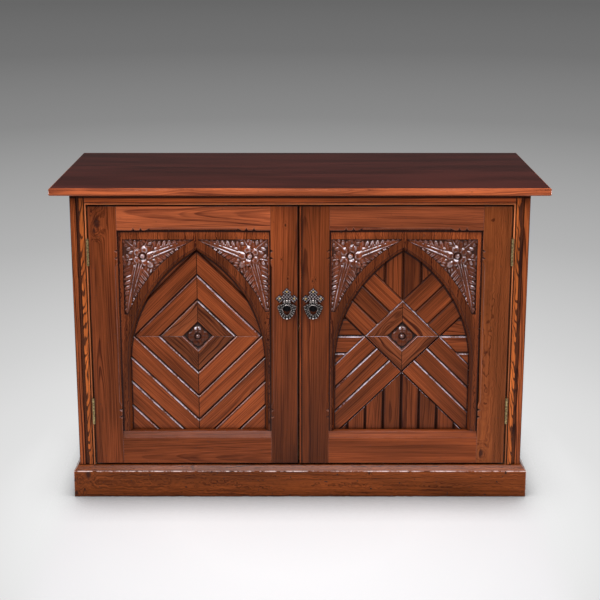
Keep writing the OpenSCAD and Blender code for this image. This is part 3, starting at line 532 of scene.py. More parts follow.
def lay_grain(bm, verts, rng, along=None, thin=None):
    """Gives one board its place round the heart of its tree. The heart runs a little askew to the board."""
    grain = bm.verts.layers.float_vector["grain"]
    low = Vector(low_corner(verts))
    size = Vector(high_corner(verts)) - low
    centre = low + size / 2
    order = sorted(range(3), key=lambda i: size[i])
    along = Vector(along) if along else Vector([float(i == order[2]) for i in range(3)])
    thin = Vector(thin) if thin else Vector([float(i == order[0]) for i in range(3)])
    across = thin.cross(along)
    wide = sum(size[i] * abs(across[i]) for i in range(3))
    aside = rng.uniform(-0.75, 0.75) * wide
    deep = rng.uniform(0.025, 0.09)
    lean = (rng.uniform(-0.02, 0.02), rng.uniform(0.008, 0.03) * rng.choice((-1, 1)))
    start = rng.uniform(0, 40)
    for vert in verts:
        place = vert.co - centre
        run = place.dot(along)
        vert[grain] = (run + start, place.dot(across) - aside - lean[0] * run,
                       place.dot(thin) + deep - lean[1] * run)


def soften(bm, width, least=0.006, sharp=24):
    """Rounds the convex arrises longer than the least, and marks them as edges that wear."""
    edge_mark = bm.faces.layers.float["edge"]
    picked = [e for e in bm.edges if e.is_manifold and e.calc_length() > least
              and e.calc_face_angle_signed(0) > math.radians(sharp)]
    if picked:
        made = bmesh.ops.bevel(bm, geom=picked, offset=width, offset_type="OFFSET", affect="EDGES",
                               segments=2, profile=0.5, material=-1, clamp_overlap=True)
        for face in made["faces"]:
            face[edge_mark] = 1.0
            face.smooth = True


def add_layers(bm):
    """Room for the grain, the tone and the wear of a mesh."""
    bm.verts.layers.float_vector.new("grain")
    bm.verts.layers.float.new("tone")
    bm.faces.layers.float.new("edge")


def knock_arrises(bm, rng, step, depth):
    """Divides the long front arrises and presses them in here and there, as knocks and wear do."""
    long_edges = [e for e in bm.edges if e.is_manifold and e.calc_length() > 0.3
                  and e.calc_face_angle_signed(0) > math.radians(28)]
    for edge in long_edges:
        count = int(edge.calc_length() / step)
        inward = -(edge.link_faces[0].normal + edge.link_faces[1].normal).normalized()
        made = bmesh.ops.subdivide_edges(bm, edges=[edge], cuts=count)["geom_inner"]
        sunk = 0.0
        for vert in made:
            if isinstance(vert, bmesh.types.BMVert):
                sunk = max(0.0, sunk * 0.5 + rng.gauss(0.06, 0.22) * depth)
                vert.co += inward * min(sunk, depth) * MM


def cad_copy(node):
    """A merged copy of a node's mesh, with its flat faces made whole."""
    bm = bmesh.new()
    bm.from_mesh(frame["nodes"][node].data)
    add_layers(bm)
    bmesh.ops.remove_doubles(bm, verts=bm.verts[:], dist=0.00002)
    bmesh.ops.dissolve_limit(bm, angle_limit=math.radians(0.6), verts=bm.verts[:], edges=bm.edges[:])
    for face in bm.faces:
        face.smooth = any(0.01 < e.calc_face_angle(0) < 0.45 for e in face.edges if e.is_manifold)
    return bm


def make_piece(name, bm, body, nodes, materials):
    """A finished piece from its mesh: named, dressed, riding on its body and standing for its nodes."""
    mesh = bpy.data.meshes.new(name)
    bm.to_mesh(mesh)
    bm.free()
    for material in materials:
        mesh.materials.append(material)
    piece = bpy.data.objects.new(name, mesh)
    bpy.context.scene.collection.objects.link(piece)
    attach(piece, body)
    if nodes:
        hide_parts(*nodes)
    return piece


def body_of(node):
    """The body that carries a node."""
    return next(body for body, members in frame["record"]["behaviour"]["bodies"].items() if node in members)


def set_tone(bm, verts, tone):
    layer = bm.verts.layers.float["tone"]
    for vert in verts:
        vert[layer] = tone


def mitre_direction(centre):
    """Along a mitred board of a diamond, from the quarter that it lies in."""
    aside = abs(centre.x) - ARCH
    if centre.x < 0:
        aside = -aside
    return Vector((1, 0, -1 if aside * (centre.z - PATTERN) > 0 else 1)).normalized()


def raking_direction(centre):
    """Along a raking board, which runs out from the middle of the pattern."""
    along = mitre_direction(centre)
    return Vector((along.x, 0, -along.z))


def under_arch(face):
    """Whether a face of a board lies close under the edge of an arch."""
    middle = face.calc_center_median()
    return middle.z > 0.5 and from_arch_centre(middle) > ARCH_SHADOW


def from_arch_centre(place):
    """How far a place on a door lies from the centre that its side of the arch is drawn from."""
    return math.hypot(abs(abs(place.x) - ARCH) + ARCH_POINT, place.z - SPRING)


def grade(piece, factor):
    """Multiplies the tone of a piece by a function of each place on it."""
    for vert, tone in zip(piece.data.vertices, piece.data.attributes["tone"].data):
        tone.value *= factor(vert.co)


def part_up(place, low, high):
    """How far up a place lies between two levels, from 0 to 1."""
    return min(max((place.z - low) / (high - low), 0), 1)


def mark_faces(piece, value, chosen):
    """Marks the faces that a test chooses: rubbed above 0 and dirty below it."""
    for face, edge in zip(piece.data.polygons, piece.data.attributes["edge"].data):
        if chosen(face):
            edge.value = value


def catches_light(face, node):
    """Whether a joint faces the light: every joint of the right door, and the left door's on one side."""
    return face.normal.x > 0.05 or "right" in node


# Marks on faces, which paint light and shade: a joint's slope and the arris beside it, each out of the light
# and in it, those in it painted as highlights, and painted shade
SLOPE_MARKS = (0.3, 0.82)
ARRIS_MARKS = (0.25, 0.78)
SHADE_MARK = -0.95


def wooden(node, material, width=0.9, tone=1.0, spread=0.0, along=None,
           joints=False, knocked=None, arris=1.0, sloped=0.0):
    """A wooden piece in place of its node. Along is an axis, or a function of a board's middle."""
    bm = cad_copy(node)
    rng = random.Random(node)
    if knocked:
        knock_arrises(bm, rng, *knocked)
    edge_mark = bm.faces.layers.float["edge"]
    for face in bm.faces:
        # Joint slopes that face down are painted in shade, those that face up get painted highlights, and
        # those close under an arch painted shade from it
        if -0.9 < face.normal.y < -0.5 and face.calc_center_median().y > BOARD_FRONT - 0.001:
            face[edge_mark] = SHADE_MARK
            if face.normal.z > 0.1:
                face[edge_mark] = SLOPE_MARKS[catches_light(face, node)]
            if under_arch(face):
                face[edge_mark] = -0.5
        if sloped and 0.3 < face.normal.z < 0.85:
            face[edge_mark] = sloped
    soften(bm, width * MM)
    for face in bm.faces:
        if face[edge_mark] == 1.0:
            face[edge_mark] = arris
            # At joints, arrises that face down or lie under an arch are painted in shade, and the others get
            # painted highlights
            if joints:
                shut_in = face.normal.z < 0.3 or under_arch(face)
                face[edge_mark] = SHADE_MARK if shut_in else ARRIS_MARKS[catches_light(face, node)]
            if sloped and face.normal.z > 0.72:
                face[edge_mark] = 0.1
    for verts in islands(bm):
        direction = along
        if callable(along):
            direction = along((Vector(low_corner(verts)) + Vector(high_corner(verts))) / 2)
        lay_grain(bm, verts, rng, direction, (0, 1, 0) if direction is not None else None)
        set_tone(bm, verts, tone * (1 + rng.uniform(-spread, spread)))
    return make_piece("wood_" + node, bm, body_of(node), [node], [material])


# Case
top = wooden("top_board", top_pine, width=2.2, tone=1.6, knocked=(0.012, 0.5))
# The upper face takes the near-black finish, as painted shade
top.data.materials.append(top_face_shade_pine)
for face in top.data.polygons:
    face.material_index = int(face.normal.z > 0.95)

for node in ("left_side", "right_side"):
    wooden(node, polished_pine, tone=0.72)

# In millimetres in from the outer edge of a corner upright: its moulding, its flat and its inner arris
MOULDING = 16.4
FLAT = (26, 39)
INNER_ARRIS = 38.4
for node in ("left_corner_upright", "right_corner_upright"):
    # An upright's arrises, rounded outer corner, sunk strip beside the moulding and inner arris are painted
    # in shade, as is the line below the top
    piece = wooden(node, strip_pine, width=0.7, along=(0, 0, 1), arris=-0.6)
    piece.data.materials.append(flame_pine)
    outer = max(abs(corner.x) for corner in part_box(node))
    marks = piece.data.attributes["edge"].data
    for face in piece.data.polygons:
        inward = (outer - abs(face.center.x)) / MM
        sunk = face.center.y > FACE - 0.0055
        if face.normal.y < -0.9 and FLAT[0] < inward < FLAT[1]:
            face.material_index = 1
        elif abs(face.normal.x) > 0.5 and face.normal.y < -0.1 or MOULDING < inward < FLAT[0] and sunk:
            marks[face.index].value = -0.6
        elif inward > INNER_ARRIS and face.normal.y < -0.5 and sunk:
            marks[face.index].value = SHADE_MARK
# The head rail's tone is raised to paint light where the top's overhang shades it, and the line below the
# top is painted shade
wooden("head_rail", shaded_pine, width=0.5, tone=2.2)
beads = wooden("opening_beads", bead_pine, width=0.3, tone=1.7)
grade(beads, lambda place: 0.4 + 0.6 * part_up(place, 0.1, 0.8))
# Bead faces that look down or towards the middle are painted in shade
mark_faces(beads, SHADE_MARK, lambda face: face.normal.z < -0.5
           or face.normal.x * face.center.x < -0.5 * abs(face.center.x))
for node, tone in (("plinth_front", 0.68), ("plinth_left", 0.66), ("plinth_right", 0.66)):
    wooden(node, worn_pine, width=1.5, tone=tone, knocked=(0.007, 2.2), sloped=0.168)
for node in ("bottom_board", "shelf", "shelf_cleats", "back_boards", "rear_top_rail", "plinth_back",
             "glue_blocks", "door_stops"):
    wooden(node, plain_pine, width=0.7, spread=0.12)

# Doors: the finish of each member, its tones at the head and the foot of the door, and the mark of its sill
FRAMES = {"left_door_hinge_stile": (knotted_pine, 0.85, 0.7, 0),
          "left_door_meeting_stile": (nailed_pine, 1.02, 0.2, 0),
          "right_door_hinge_stile": (curly_pine, 0.85, 0.75, 0),
          "right_door_meeting_stile": (nailed_pine, 0.76, 0.37, 0),
          "left_door_top_rail": (rail_pine, 1.53, 1.53, 0),
          "right_door_top_rail": (rail_pine, 1.04, 1.04, 0),
          "left_door_bottom_rail": (sill_pine, 0.62, 0.62, 0.168),
          "right_door_bottom_rail": (sill_pine, 0.78, 0.78, 0.06)}
for node, (finish, upper, lower, slope) in FRAMES.items():
    piece = wooden(node, finish, width=0.8, sloped=slope, arris=1.0 if "top" in node else 0.3)
    # The stiles' tones fall from head to foot: painted fall-off of light, darker towards the floor
    grade(piece, lambda place: lower + (upper - lower) * part_up(place, 0, 0.9))
    for face, edge in zip(piece.data.polygons, piece.data.attributes["edge"].data):
        # Faces on the top edge of a door are painted in shade
        if face.normal.z > 0.9 and face.center.z > 0.85:
            edge.value = -0.8
        # Of the nicks at the chamfer stops, faces that look up get a painted highlight and those that look
        # down painted shade
        if abs(face.normal.x) > 0.3 and face.normal.y < -0.3 and 0.5 < abs(face.normal.z) < 0.9:
            edge.value = math.copysign(SHADE_MARK, face.normal.z)
        # The faces in the gap at the meeting edge are painted in shade
        if "meeting" in node and abs(face.center.x - MEETING) < 0.0042 and abs(face.normal.x) > 0.7:
            edge.value = SHADE_MARK

# In millimetres from the meeting edge of the right door: the bead, and the quirk beside it
BEAD = 6.1
QUIRK = (6.05, 9.2)
beaded = bpy.data.objects["wood_right_door_meeting_stile"]
# The quirk beside the bead is painted in shade
mark_faces(beaded, SHADE_MARK, lambda face: QUIRK[0] < (face.center.x - BEAD_SIDE) / MM < QUIRK[1]
           and face.center.y > FACE + 0.0003)
grade(beaded, lambda place: 1.8 if place.x < BEAD_SIDE + BEAD * MM and place.y < FACE + 0.007 else 1.0)


def beside_boss(face):
    """Whether a face of a diamond looks up at its boss."""
    off = abs(abs(face.center.x) - ARCH) + abs(face.center.z - PATTERN)
    return off < (BOSS[1].x - BOSS[0].x) / 2 + 0.006 and face.normal.z > 0


for side in ("left_door_", "right_door_"):
    for board in ("outer_spandrel", "inner_spandrel"):
        # The spandrels' arrises, along the arch, are painted in shade
        piece = wooden(side + board, spandrel_pine, along=(0, 0, 1), arris=-0.7)
        grade(piece, lambda place: 0.5 if from_arch_centre(place) < ARCH_BAND else 1.0)
        grade(piece, lambda place: 0.62 + 0.52 * part_up(place, 0.4, 0.72))
    diamond = wooden(side + "diamond_boards", figured_pine, width=0.7, tone=0.74, spread=0.15,
                     along=mitre_direction, joints=True)
    # Diamond faces that look up at the boss lose their painted highlight, and the thin ones get a faint
    # painted highlight line
    mark_faces(diamond, 0.03, beside_boss)
    mark_faces(diamond, 0.5, lambda face: beside_boss(face) and face.area < 6e-5)
    wooden(side + "backing_boards", plain_pine, width=0.5, spread=0.12)
for node, tone, spread, along in (("left_door_upper_chevrons", 0.89, 0.1, mitre_direction),
                                  ("left_door_lower_chevrons", 0.89, 0.1, mitre_direction),
                                  ("right_door_upright_boards", 0.57, 0.1, (0, 0, 1)),
                                  ("right_door_level_boards", 0.72, 0.15, (1, 0, 0)),
                                  ("right_door_raking_boards", 0.73, 0.1, raking_direction)):
    wooden(node, board_pine, width=1.0, tone=tone, spread=spread, along=along, joints=True)


# Carving: the sunk fields of the spandrels and the bosses, as cut surfaces over the frame's plain relief

# In metres: the sunk ground of a spandrel and of a boss, and the back of a boss
GROUND = -0.219
BOSS_GROUND = -0.207
BOSS_BACK = -0.202

# In millimetres from the arch's middle line, and from the floor: the field, its arch band and its flower
FIELD_TOP = 763
FIELD_FOOT = 544.0
FIELD_START = 6
FIELD_END = 206
BAND = (-192, 397.95, 414)
FLOWER = (150, 714)
FLOWER_TURN = 36
GRID = 0.85


def between(pair, part):
    """A value part of the way from one number of a pair to the other."""
    return pair[0] + (pair[1] - pair[0]) * part


def ridge(u, z, path, widths, heights, sharp=0.5):
    """A tapering ridge along a path. A sharpness of 0.5 is round, and 1 is a steep-sided crest."""
    best = np.zeros_like(u)
    count = len(path) - 1
    for number in range(count):
        (u0, z0), (u1, z1) = path[number], path[number + 1]
        du, dz = u1 - u0, z1 - z0
        part = np.clip(((u - u0) * du + (z - z0) * dz) / (du * du + dz * dz), 0, 1)
        off = np.hypot(u - u0 - part * du, z - z0 - part * dz)
        run = (number + part) / count
        inside = np.clip(1 - (off / between(widths, run)) ** 2, 0, 1)
        best = np.maximum(best, between(heights, run) * inside ** sharp)
    return best


def lobe(u, z, centre, size, turn, height, crease=0.0):
    """A rounded lobe, long along its turn in degrees, with an optional crease down its middle."""
    c, s = math.cos(math.radians(turn)), math.sin(math.radians(turn))
    along = ((u - centre[0]) * c + (z - centre[1]) * s) / size[0]
    aside = (-(u - centre[0]) * s + (z - centre[1]) * c) / size[1]
    inside = np.clip(1 - along ** 2 - aside ** 2, 0, 1)
    return height * inside ** 0.42 * (1 - crease * np.exp(-(aside / 0.2) ** 2))


def bend(start, middle, end, steps=8):
    """Points along a bent line."""
    points = []
    for number in range(steps + 1):
        t = number / steps
        parts = ((1 - t) ** 2, 2 * t * (1 - t), t * t)
        points.append(tuple(start[i] * parts[0] + middle[i] * parts[1] + end[i] * parts[2] for i in (0, 1)))
    return points


def leaf(u, z, stem, reach, lobes, height, ribs, rib_gap):
    """A cut leaf: a sunk blade, lobes along both edges that lean to the tip, and long ribs."""
    blade = ridge(u, z, stem, (reach[0] * 0.9, reach[1] * 0.9), (height * 0.3, height * 0.2), 0.35)
    steps = len(stem) - 1
    for number in range(lobes):
        run = (number + 0.35) / lobes
        spot = min(int(run * steps), steps - 1)
        a, b = stem[spot], stem[spot + 1]
        along = math.atan2(b[1] - a[1], b[0] - a[0])
        inner = [between((a[i], b[i]), run * steps - spot) for i in (0, 1)]
        wide = between(reach, run)
        length = math.hypot(stem[-1][0] - stem[0][0], stem[-1][1] - stem[0][1]) / lobes
        for side in (-1, 1):
            lean = along + side * math.radians(52)
            middle = (inner[0] + math.cos(lean) * wide * 0.68, inner[1] + math.sin(lean) * wide * 0.68)
            size = (wide * 0.52, max(length * 0.34, 2.6))
            lift = height * (0.86 + 0.2 * math.sin(number * 7.3 + side * 2.1 + lobes))
            blade = np.maximum(blade, lobe(u, z, middle, size, math.degrees(lean), lift, 0.35))
    for number in range(ribs):
        aside = (number - (ribs - 1) / 2) * rib_gap
        path = []
        for spot, (a, b) in enumerate(zip(stem, stem[1:] + [stem[-1]])):
            a0, b0 = (a, b) if b != a else (stem[-2], stem[-1])
            off = aside * (1 - 0.75 * spot / steps)
            size = math.hypot(b0[0] - a0[0], b0[1] - a0[1])
            path.append((a[0] - (b0[1] - a0[1]) / size * off, a[1] + (b0[0] - a0[0]) / size * off))
        groove = ridge(u, z, path, (rib_gap * 0.85, rib_gap * 0.5), (1, 1), 1)
        crest = ridge(u, z, path, (rib_gap * 0.6, rib_gap * 0.36), (height + 1.3, height * 0.75), 1)
        blade = np.maximum(blade - (blade - height * 0.3) * np.clip(groove * 1.6, 0, 1), crest)
    return blade


def plain_relief(u, z):
    """The frame's own ribs and flower, which the cutting has to cover."""
    ribs = (((118, 724), (30, 757), 5.5, 2), ((114, 735), (42, 757), 5, 1.5),
            ((122, 712), (58, 741), 4.5, 2), ((162, 682), (195, 584), 5.5, 2),
            ((173, 684), (199, 604), 5, 1.5), ((152, 680), (184, 606), 4.5, 2),
            ((168, 736), (196, 758), 4, 2), ((134, 694), (124, 684), 7, 3))
    height = np.zeros_like(u)
    for start, end, first, last in ribs:
        height = np.maximum(height, ridge(u, z, (start, end), (first, last), (first, last)))
    off = np.hypot(u - FLOWER[0], z - FLOWER[1])
    height = np.maximum(height, np.clip(8 - (off - 5) * 8 / 3, 0, 8))
    for number in range(5):
        turn = math.radians(FLOWER_TURN + 72 * number)
        off = np.hypot(u - FLOWER[0] - 20 * math.cos(turn), z - FLOWER[1] - 20 * math.sin(turn))
        height = np.maximum(height, np.clip(6.5 - (off - 6) * 5.5 / 6.5, 0, 6.5))
    return height


def flower(u, z, reach):
    """A flower with two rows of five broad cupped petals round a button in a dark ring."""
    off = np.hypot(u - FLOWER[0], z - FLOWER[1])
    layers = []
    for number in range(5):
        for size, top, half in ((reach, 4.6, 0.5), (reach * 0.94, 9.0, 0.0)):
            way = math.radians(FLOWER_TURN + 72 * (number + half))
            middle = (FLOWER[0] + math.cos(way) * size * 0.54, FLOWER[1] + math.sin(way) * size * 0.54)
            petal = lobe(u, z, middle, (size * 0.46, size * 0.43), math.degrees(way), top, 0.18)
            layers.append(petal * (0.62 + 0.4 * np.clip(off / size, 0, 1)))
    height = overlaid(layers)
    height = np.where(off < 13, np.minimum(height, 0.4 + 1.6 * np.clip(off - 8.5, 0, 9)), height)
    button = 8.8 * np.sqrt(np.clip(1 - (off / 8.3) ** 4, 0, 1)) - 2.2 * np.exp(-(off / 2.2) ** 2)
    return np.maximum(height, button)


def overlaid(layers):
    """The highest of several forms, with a cut line where one meets the next."""
    order = np.sort(np.stack(layers), axis=0)
    top, second = order[-1], order[-2]
    line = np.clip(1 - (top - second) / 0.9, 0, 1) * np.clip(top / 2, 0, 1)
    return top * (1 - 0.55 * line)


def cut_field(u, z, reach):
    """The whole carved field of one spandrel: leaves to its corners and edges, and the flower over them."""
    leaves = (
        leaf(u, z, bend((132, 714), (72, 738), (6, 760)), (38, 5), 8, 5.2, 3, 6.5),
        leaf(u, z, bend((160, 694), (176, 636), (197, 546)), (46, 7), 9, 5.2, 3, 7.0),
        leaf(u, z, bend((158, 724), (178, 742), (204, 766)), (26, 12), 4, 5.0, 2, 5.5),
        leaf(u, z, bend((150, 734), (140, 748), (132, 768)), (22, 15), 3, 4.4, 1, 4.0),
        leaf(u, z, bend((164, 708), (184, 704), (208, 700)), (20, 14), 3, 4.6, 1, 4.0),
        leaf(u, z, bend((140, 704), (128, 690), (112, 672)), (28, 14), 4, 4.8, 1, 4.0))
    cut = overlaid(leaves) + 0.2
    cut = np.maximum(cut, flower(u, z, reach))
    cut = np.maximum(blurred(cut, 1), plain_relief(u, z) + 0.5)
    return np.maximum(cut, lobe(u, z, (131, 691), (14, 10), 45, 8.4))


def blurred(field, radius):
    """A field smoothed by a running mean, twice each way."""
    for axis in (0, 1, 0, 1):
        total = sum(np.roll(field, step, axis) for step in range(-radius, radius + 1))
        field = total / (2 * radius + 1)
    return field


def painted_highlight(cut, across, up):
    """Painted highlights: where the cut surface turns up to the light."""
    slope_up, slope_across = np.gradient(blurred(cut, 1), up[1] - up[0], across[1] - across[0])
    length = np.sqrt(slope_up ** 2 + slope_across ** 2 + 1)
    facing = (0.83 - 0.54 * slope_up - 0.12 * slope_across) / length
    return np.clip((facing - 0.964) / 0.02, 0, 1) * np.clip((cut - 1.5) / 2.0, 0, 1)


def carved_sheet(name, body, nodes, across, up, height, place, keep, tone, rng, back, shine):
    """A close grid lifted to the cut heights, trimmed to its field and closed behind."""
    bm = bmesh.new()
    add_layers(bm)
    columns, rows = len(across) - 1, len(up) - 1
    bmesh.ops.create_grid(bm, x_segments=columns, y_segments=rows, size=1.0)
    bm.verts.ensure_lookup_table()
    grid_u, grid_z = np.meshgrid(across, up)
    cut = height(grid_u, grid_z)
    # How strong the painted highlights are at each place
    bright = shine(grid_u, grid_z)
    # The cut attribute: painted shade in the hollows and on the low ground, and painted highlights where the
    # surface turns up to the light
    shade_and_highlight = np.clip((blurred(cut, 4) - cut) * 0.42, -0.4 * np.minimum(bright, 1), 1.0)
    shade_and_highlight -= bright * painted_highlight(cut, across, up)
    shade_and_highlight = np.maximum(shade_and_highlight, 0.95 - cut / 1.6)
    kept = keep(grid_u, grid_z)
    edge = bm.verts.layers.float.new("cut")
    gone = []
    for vert in bm.verts:
        column = round((vert.co.x + 1) / 2 * columns)
        row = round((vert.co.y + 1) / 2 * rows)
        vert[edge] = min(max(-shade_and_highlight[row, column], -1), 1)
        if not kept[row, column]:
            gone.append(vert)
        vert.co = place(across[column], up[row], cut[row, column])
    bmesh.ops.delete(bm, geom=gone, context="VERTS")
    rim = [e for e in bm.edges if e.is_boundary]
    walls = bmesh.ops.extrude_edge_only(bm, edges=rim)["geom"]
    for item in walls:
        if isinstance(item, bmesh.types.BMVert):
            item.co.y = back
    bmesh.ops.holes_fill(bm, edges=[e for e in bm.edges if e.is_boundary], sides=0)
    bmesh.ops.recalc_face_normals(bm, faces=bm.faces[:])
    for face in bm.faces:
        face.smooth = abs(face.normal.y) > 0.02 and len(face.verts) == 4
    lay_grain(bm, bm.verts[:], rng, (0, 0, 1), (0, 1, 0))
    set_tone(bm, bm.verts, tone)
    return make_piece(name, bm, body, nodes, [carved_pine])


def spandrel_carving(door, board, side, reach, bright):
    """The carved field of one spandrel, on its sunk ground. Side is -1 to the left of the arch."""
    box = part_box(door + "_boss")
    centre = (box[0].x + box[1].x) / 2

    def place(u, z, height):
        return (centre + side * u * MM, GROUND - height * MM, z * MM)

    def height(u, z):
        cut = cut_field(u, z, reach)
        buried = field_room(u, z) < 0.4
        return np.where(buried, np.minimum(cut, 5.2), cut)

    def field_room(u, z):
        out = np.hypot(u - BAND[0], z - BAND[1]) - BAND[2]
        return np.minimum(np.minimum(out, FIELD_TOP - z), np.minimum(u - FIELD_START, FIELD_END - 1 - u))

    def keep(u, z):
        return field_room(u, z) > -1.6

    # Painted highlights, weaker near the top strip and the stile, as painted shade from them
    def shine(u, z):
        return bright * np.clip(np.minimum((FIELD_TOP - z) / 26, (FIELD_END - u) / 40), 0.22, 1)

    across = np.arange(FIELD_START - 2.0, FIELD_END + 1.0, GRID)
    up = np.arange(FIELD_FOOT, FIELD_TOP + 2.0, GRID)
    carved_sheet("carving_" + door + "_" + board, door, [], across, up, height, place, keep, 0.8,
                 random.Random(door + board), GROUND + 0.0006, shine)


def turned(p, q):
    """Across and up, from the two slanting directions of a diamond."""
    return (p - q) / math.sqrt(2), (p + q) / math.sqrt(2)


def boss_carving(door):
    """A four-petalled flower with a bead, on its sunk diamond."""
    low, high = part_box(door + "_boss")
    centre = (low + high) / 2
    half = (high.x - low.x) / 2 / MM / math.sqrt(2)

    def place(p, q, height):
        x, z = turned(p, q)
        return (centre.x + x * MM, BOSS_GROUND - height * MM, centre.z + z * MM)

    def height(p, q):
        x, z = turned(p, q)
        off = np.hypot(x, z)
        cut = 0.3 * np.sin(x * 0.8) * np.sin(z * 0.7)
        for number in range(4):
            way = math.pi / 4 * (1 + 2 * number)
            cut = np.maximum(cut, lobe(x, z, (15 * math.cos(way), 15 * math.sin(way)), (9, 6),
                                       math.degrees(way), 3.6))
        for number in range(4):
            way = math.pi / 2 * number
            petal = lobe(x, z, (18.5 * math.cos(way), 18.5 * math.sin(way)), (11.5, 14.5),
                         math.degrees(way), 6.0, 0.25)
            cut = np.maximum(cut, petal * np.clip(0.5 + off / 45, 0, 1))
        cut = np.where(off < 12.5, np.minimum(cut, np.clip((off - 8.5) * 1.2, 0.2, 9)), cut)
        return np.maximum(cut, 7.4 * np.clip(1 - (off / 7.4) ** 2.5, 0, 1) ** 0.5)

    # Painted highlights on the top petal's tip, the collar above the ring and the bead, faint elsewhere
    def shine(p, q):
        x, z = turned(p, q)
        tip = (abs(x) < 9) & (z > 20)
        collar = (abs(x) < 12) & (z > 10) & (z < 15.5)
        return np.where(tip | collar, 0.9, np.where(np.hypot(x, z) < 8, 0.5, 0.2))

    steps = np.linspace(-half, half, 61)
    carved_sheet("carved_boss_" + door, door, [door + "_boss"], steps, steps, height, place,
                 lambda p, q: np.ones_like(p) > 0, 0.5, random.Random(door), BOSS_BACK, shine)


# Its near-white rubbed colour shows the carving's painted highlights, and its dark the painted shade in the
# hollows
carved_pine = polished("carved polished pine", (0.25, 0.054, 0.016, 1), (0.07, 0.012, 0.004, 1), rough=0.22,
                       shine=0.3, rubbed=(1.0, 0.86, 0.91, 1), rub=1.6, shadowing=0.97, knocks=0.0,
                       mark="cut", reach=0.014)
# The last number is the strength of each spandrel's painted highlights
spandrel_carving("left_door", "outer_spandrel", -1, 32, 1.8)
spandrel_carving("left_door", "inner_spandrel", 1, 33, 2.8)
spandrel_carving("right_door", "inner_spandrel", -1, 37, 2.6)
spandrel_carving("right_door", "outer_spandrel", 1, 34, 2.1)
for door in ("left_door", "right_door"):
    boss_carving(door)

# Metal

for node, item in frame["nodes"].items():
    finish = None
    if "hinge_" in node and "stile" not in node:
        finish = dull_brass
    if "nails" in node:
        finish = bright_brass
    if "friction" in node or "pivot" in node:
        finish = dark_casting
    for entry in item.material_slots:
        entry.material = finish or entry.material


def casting(node, rim, width, finish, drawn_in=0.0):
    """A cast piece from its node: softened arrises, and a face sunk by 0.9 mm inside a raised rim."""
    bm = cad_copy(node)
    low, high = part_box(node)
    for vert in bm.verts:
        down = max(0.0, 1 - 2 * (vert.co.z - low.z) / (high.z - low.z))
        vert.co.x += ((low.x + high.x) / 2 - vert.co.x) * drawn_in * down ** 1.5
    mark = bm.faces.layers.float["edge"]
    lowest = min(v.co.y for v in bm.verts)
    front = [f for f in bm.faces if f.normal.y < -0.95 and f.calc_center_median().y < lowest + 0.0016]
    for face in bm.faces:
        face[mark] = 0.15
    rims = bmesh.ops.inset_region(bm, faces=front, thickness=rim * MM, depth=-0.9 * MM,
                                  use_even_offset=True, use_boundary=True)["faces"]
    for face in rims:
        face[mark] = 0.5
    for face in front:
        face[mark] = -0.5
    soften(bm, width * MM, 0.0015, 40)
    return make_piece("cast_" + node, bm, body_of(node), [node], [finish])


for side in ("left_handle_", "right_handle_"):
    casting(side + "plate", 0.9, 0.25, pierced_casting)
    casting(side + "ring", 1.5, 0.6, roped_casting, drawn_in=0.3)


def striking_stud(side):
    """A dark domed stud on the stile, behind the hole of the ring."""
    low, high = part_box(side + "ring")
    bm = bmesh.new()
    add_layers(bm)
    profile = [(0, -2.2), (5.0, -1.9), (9.6, -0.9), (11.4, 0.0)]
    verts = [bm.verts.new((x * MM, y * MM, 0)) for x, y in profile]
    edges = [bm.edges.new(pair) for pair in zip(verts, verts[1:])]
    bmesh.ops.spin(bm, geom=verts + edges, cent=(0, 0, 0), axis=(0, 1, 0), angle=math.tau, steps=32,
                   use_merge=True)
    bmesh.ops.remove_doubles(bm, verts=bm.verts[:], dist=0.00005)
    bmesh.ops.holes_fill(bm, edges=[e for e in bm.edges if e.is_boundary], sides=0)
    bmesh.ops.recalc_face_normals(bm, faces=bm.faces[:])
    centre = ((low.x + high.x) / 2, FACE + 0.0001, high.z - 0.0265)
    bmesh.ops.translate(bm, verts=bm.verts[:], vec=centre)
    for face in bm.faces:
        face.smooth = len(face.verts) < 5
        face[bm.faces.layers.float["edge"]] = -0.5
    make_piece(side + "striking_stud", bm, side.replace("handle_", "door"), [], [dark_casting])


for side in ("left_handle_", "right_handle_"):
    striking_stud(side)


# Camera, floor and light

# How bright the floor is painted at each distance from the cupboard, in metres, falling off as light would,
# and the grey that it ends in
LEVELS = ((0.45, 0.97), (0.75, 0.9), (1.0, 0.825), (1.15, 0.755), (1.4, 0.72), (1.8, 0.645), (3.4, 0.451),
          (7.6, 0.25), (14.0, 0.17), (27.0, 0.135))
FAR = LEVELS[-1][0]
FAR_GREY = (0.135, 0.135, 0.135, 1)


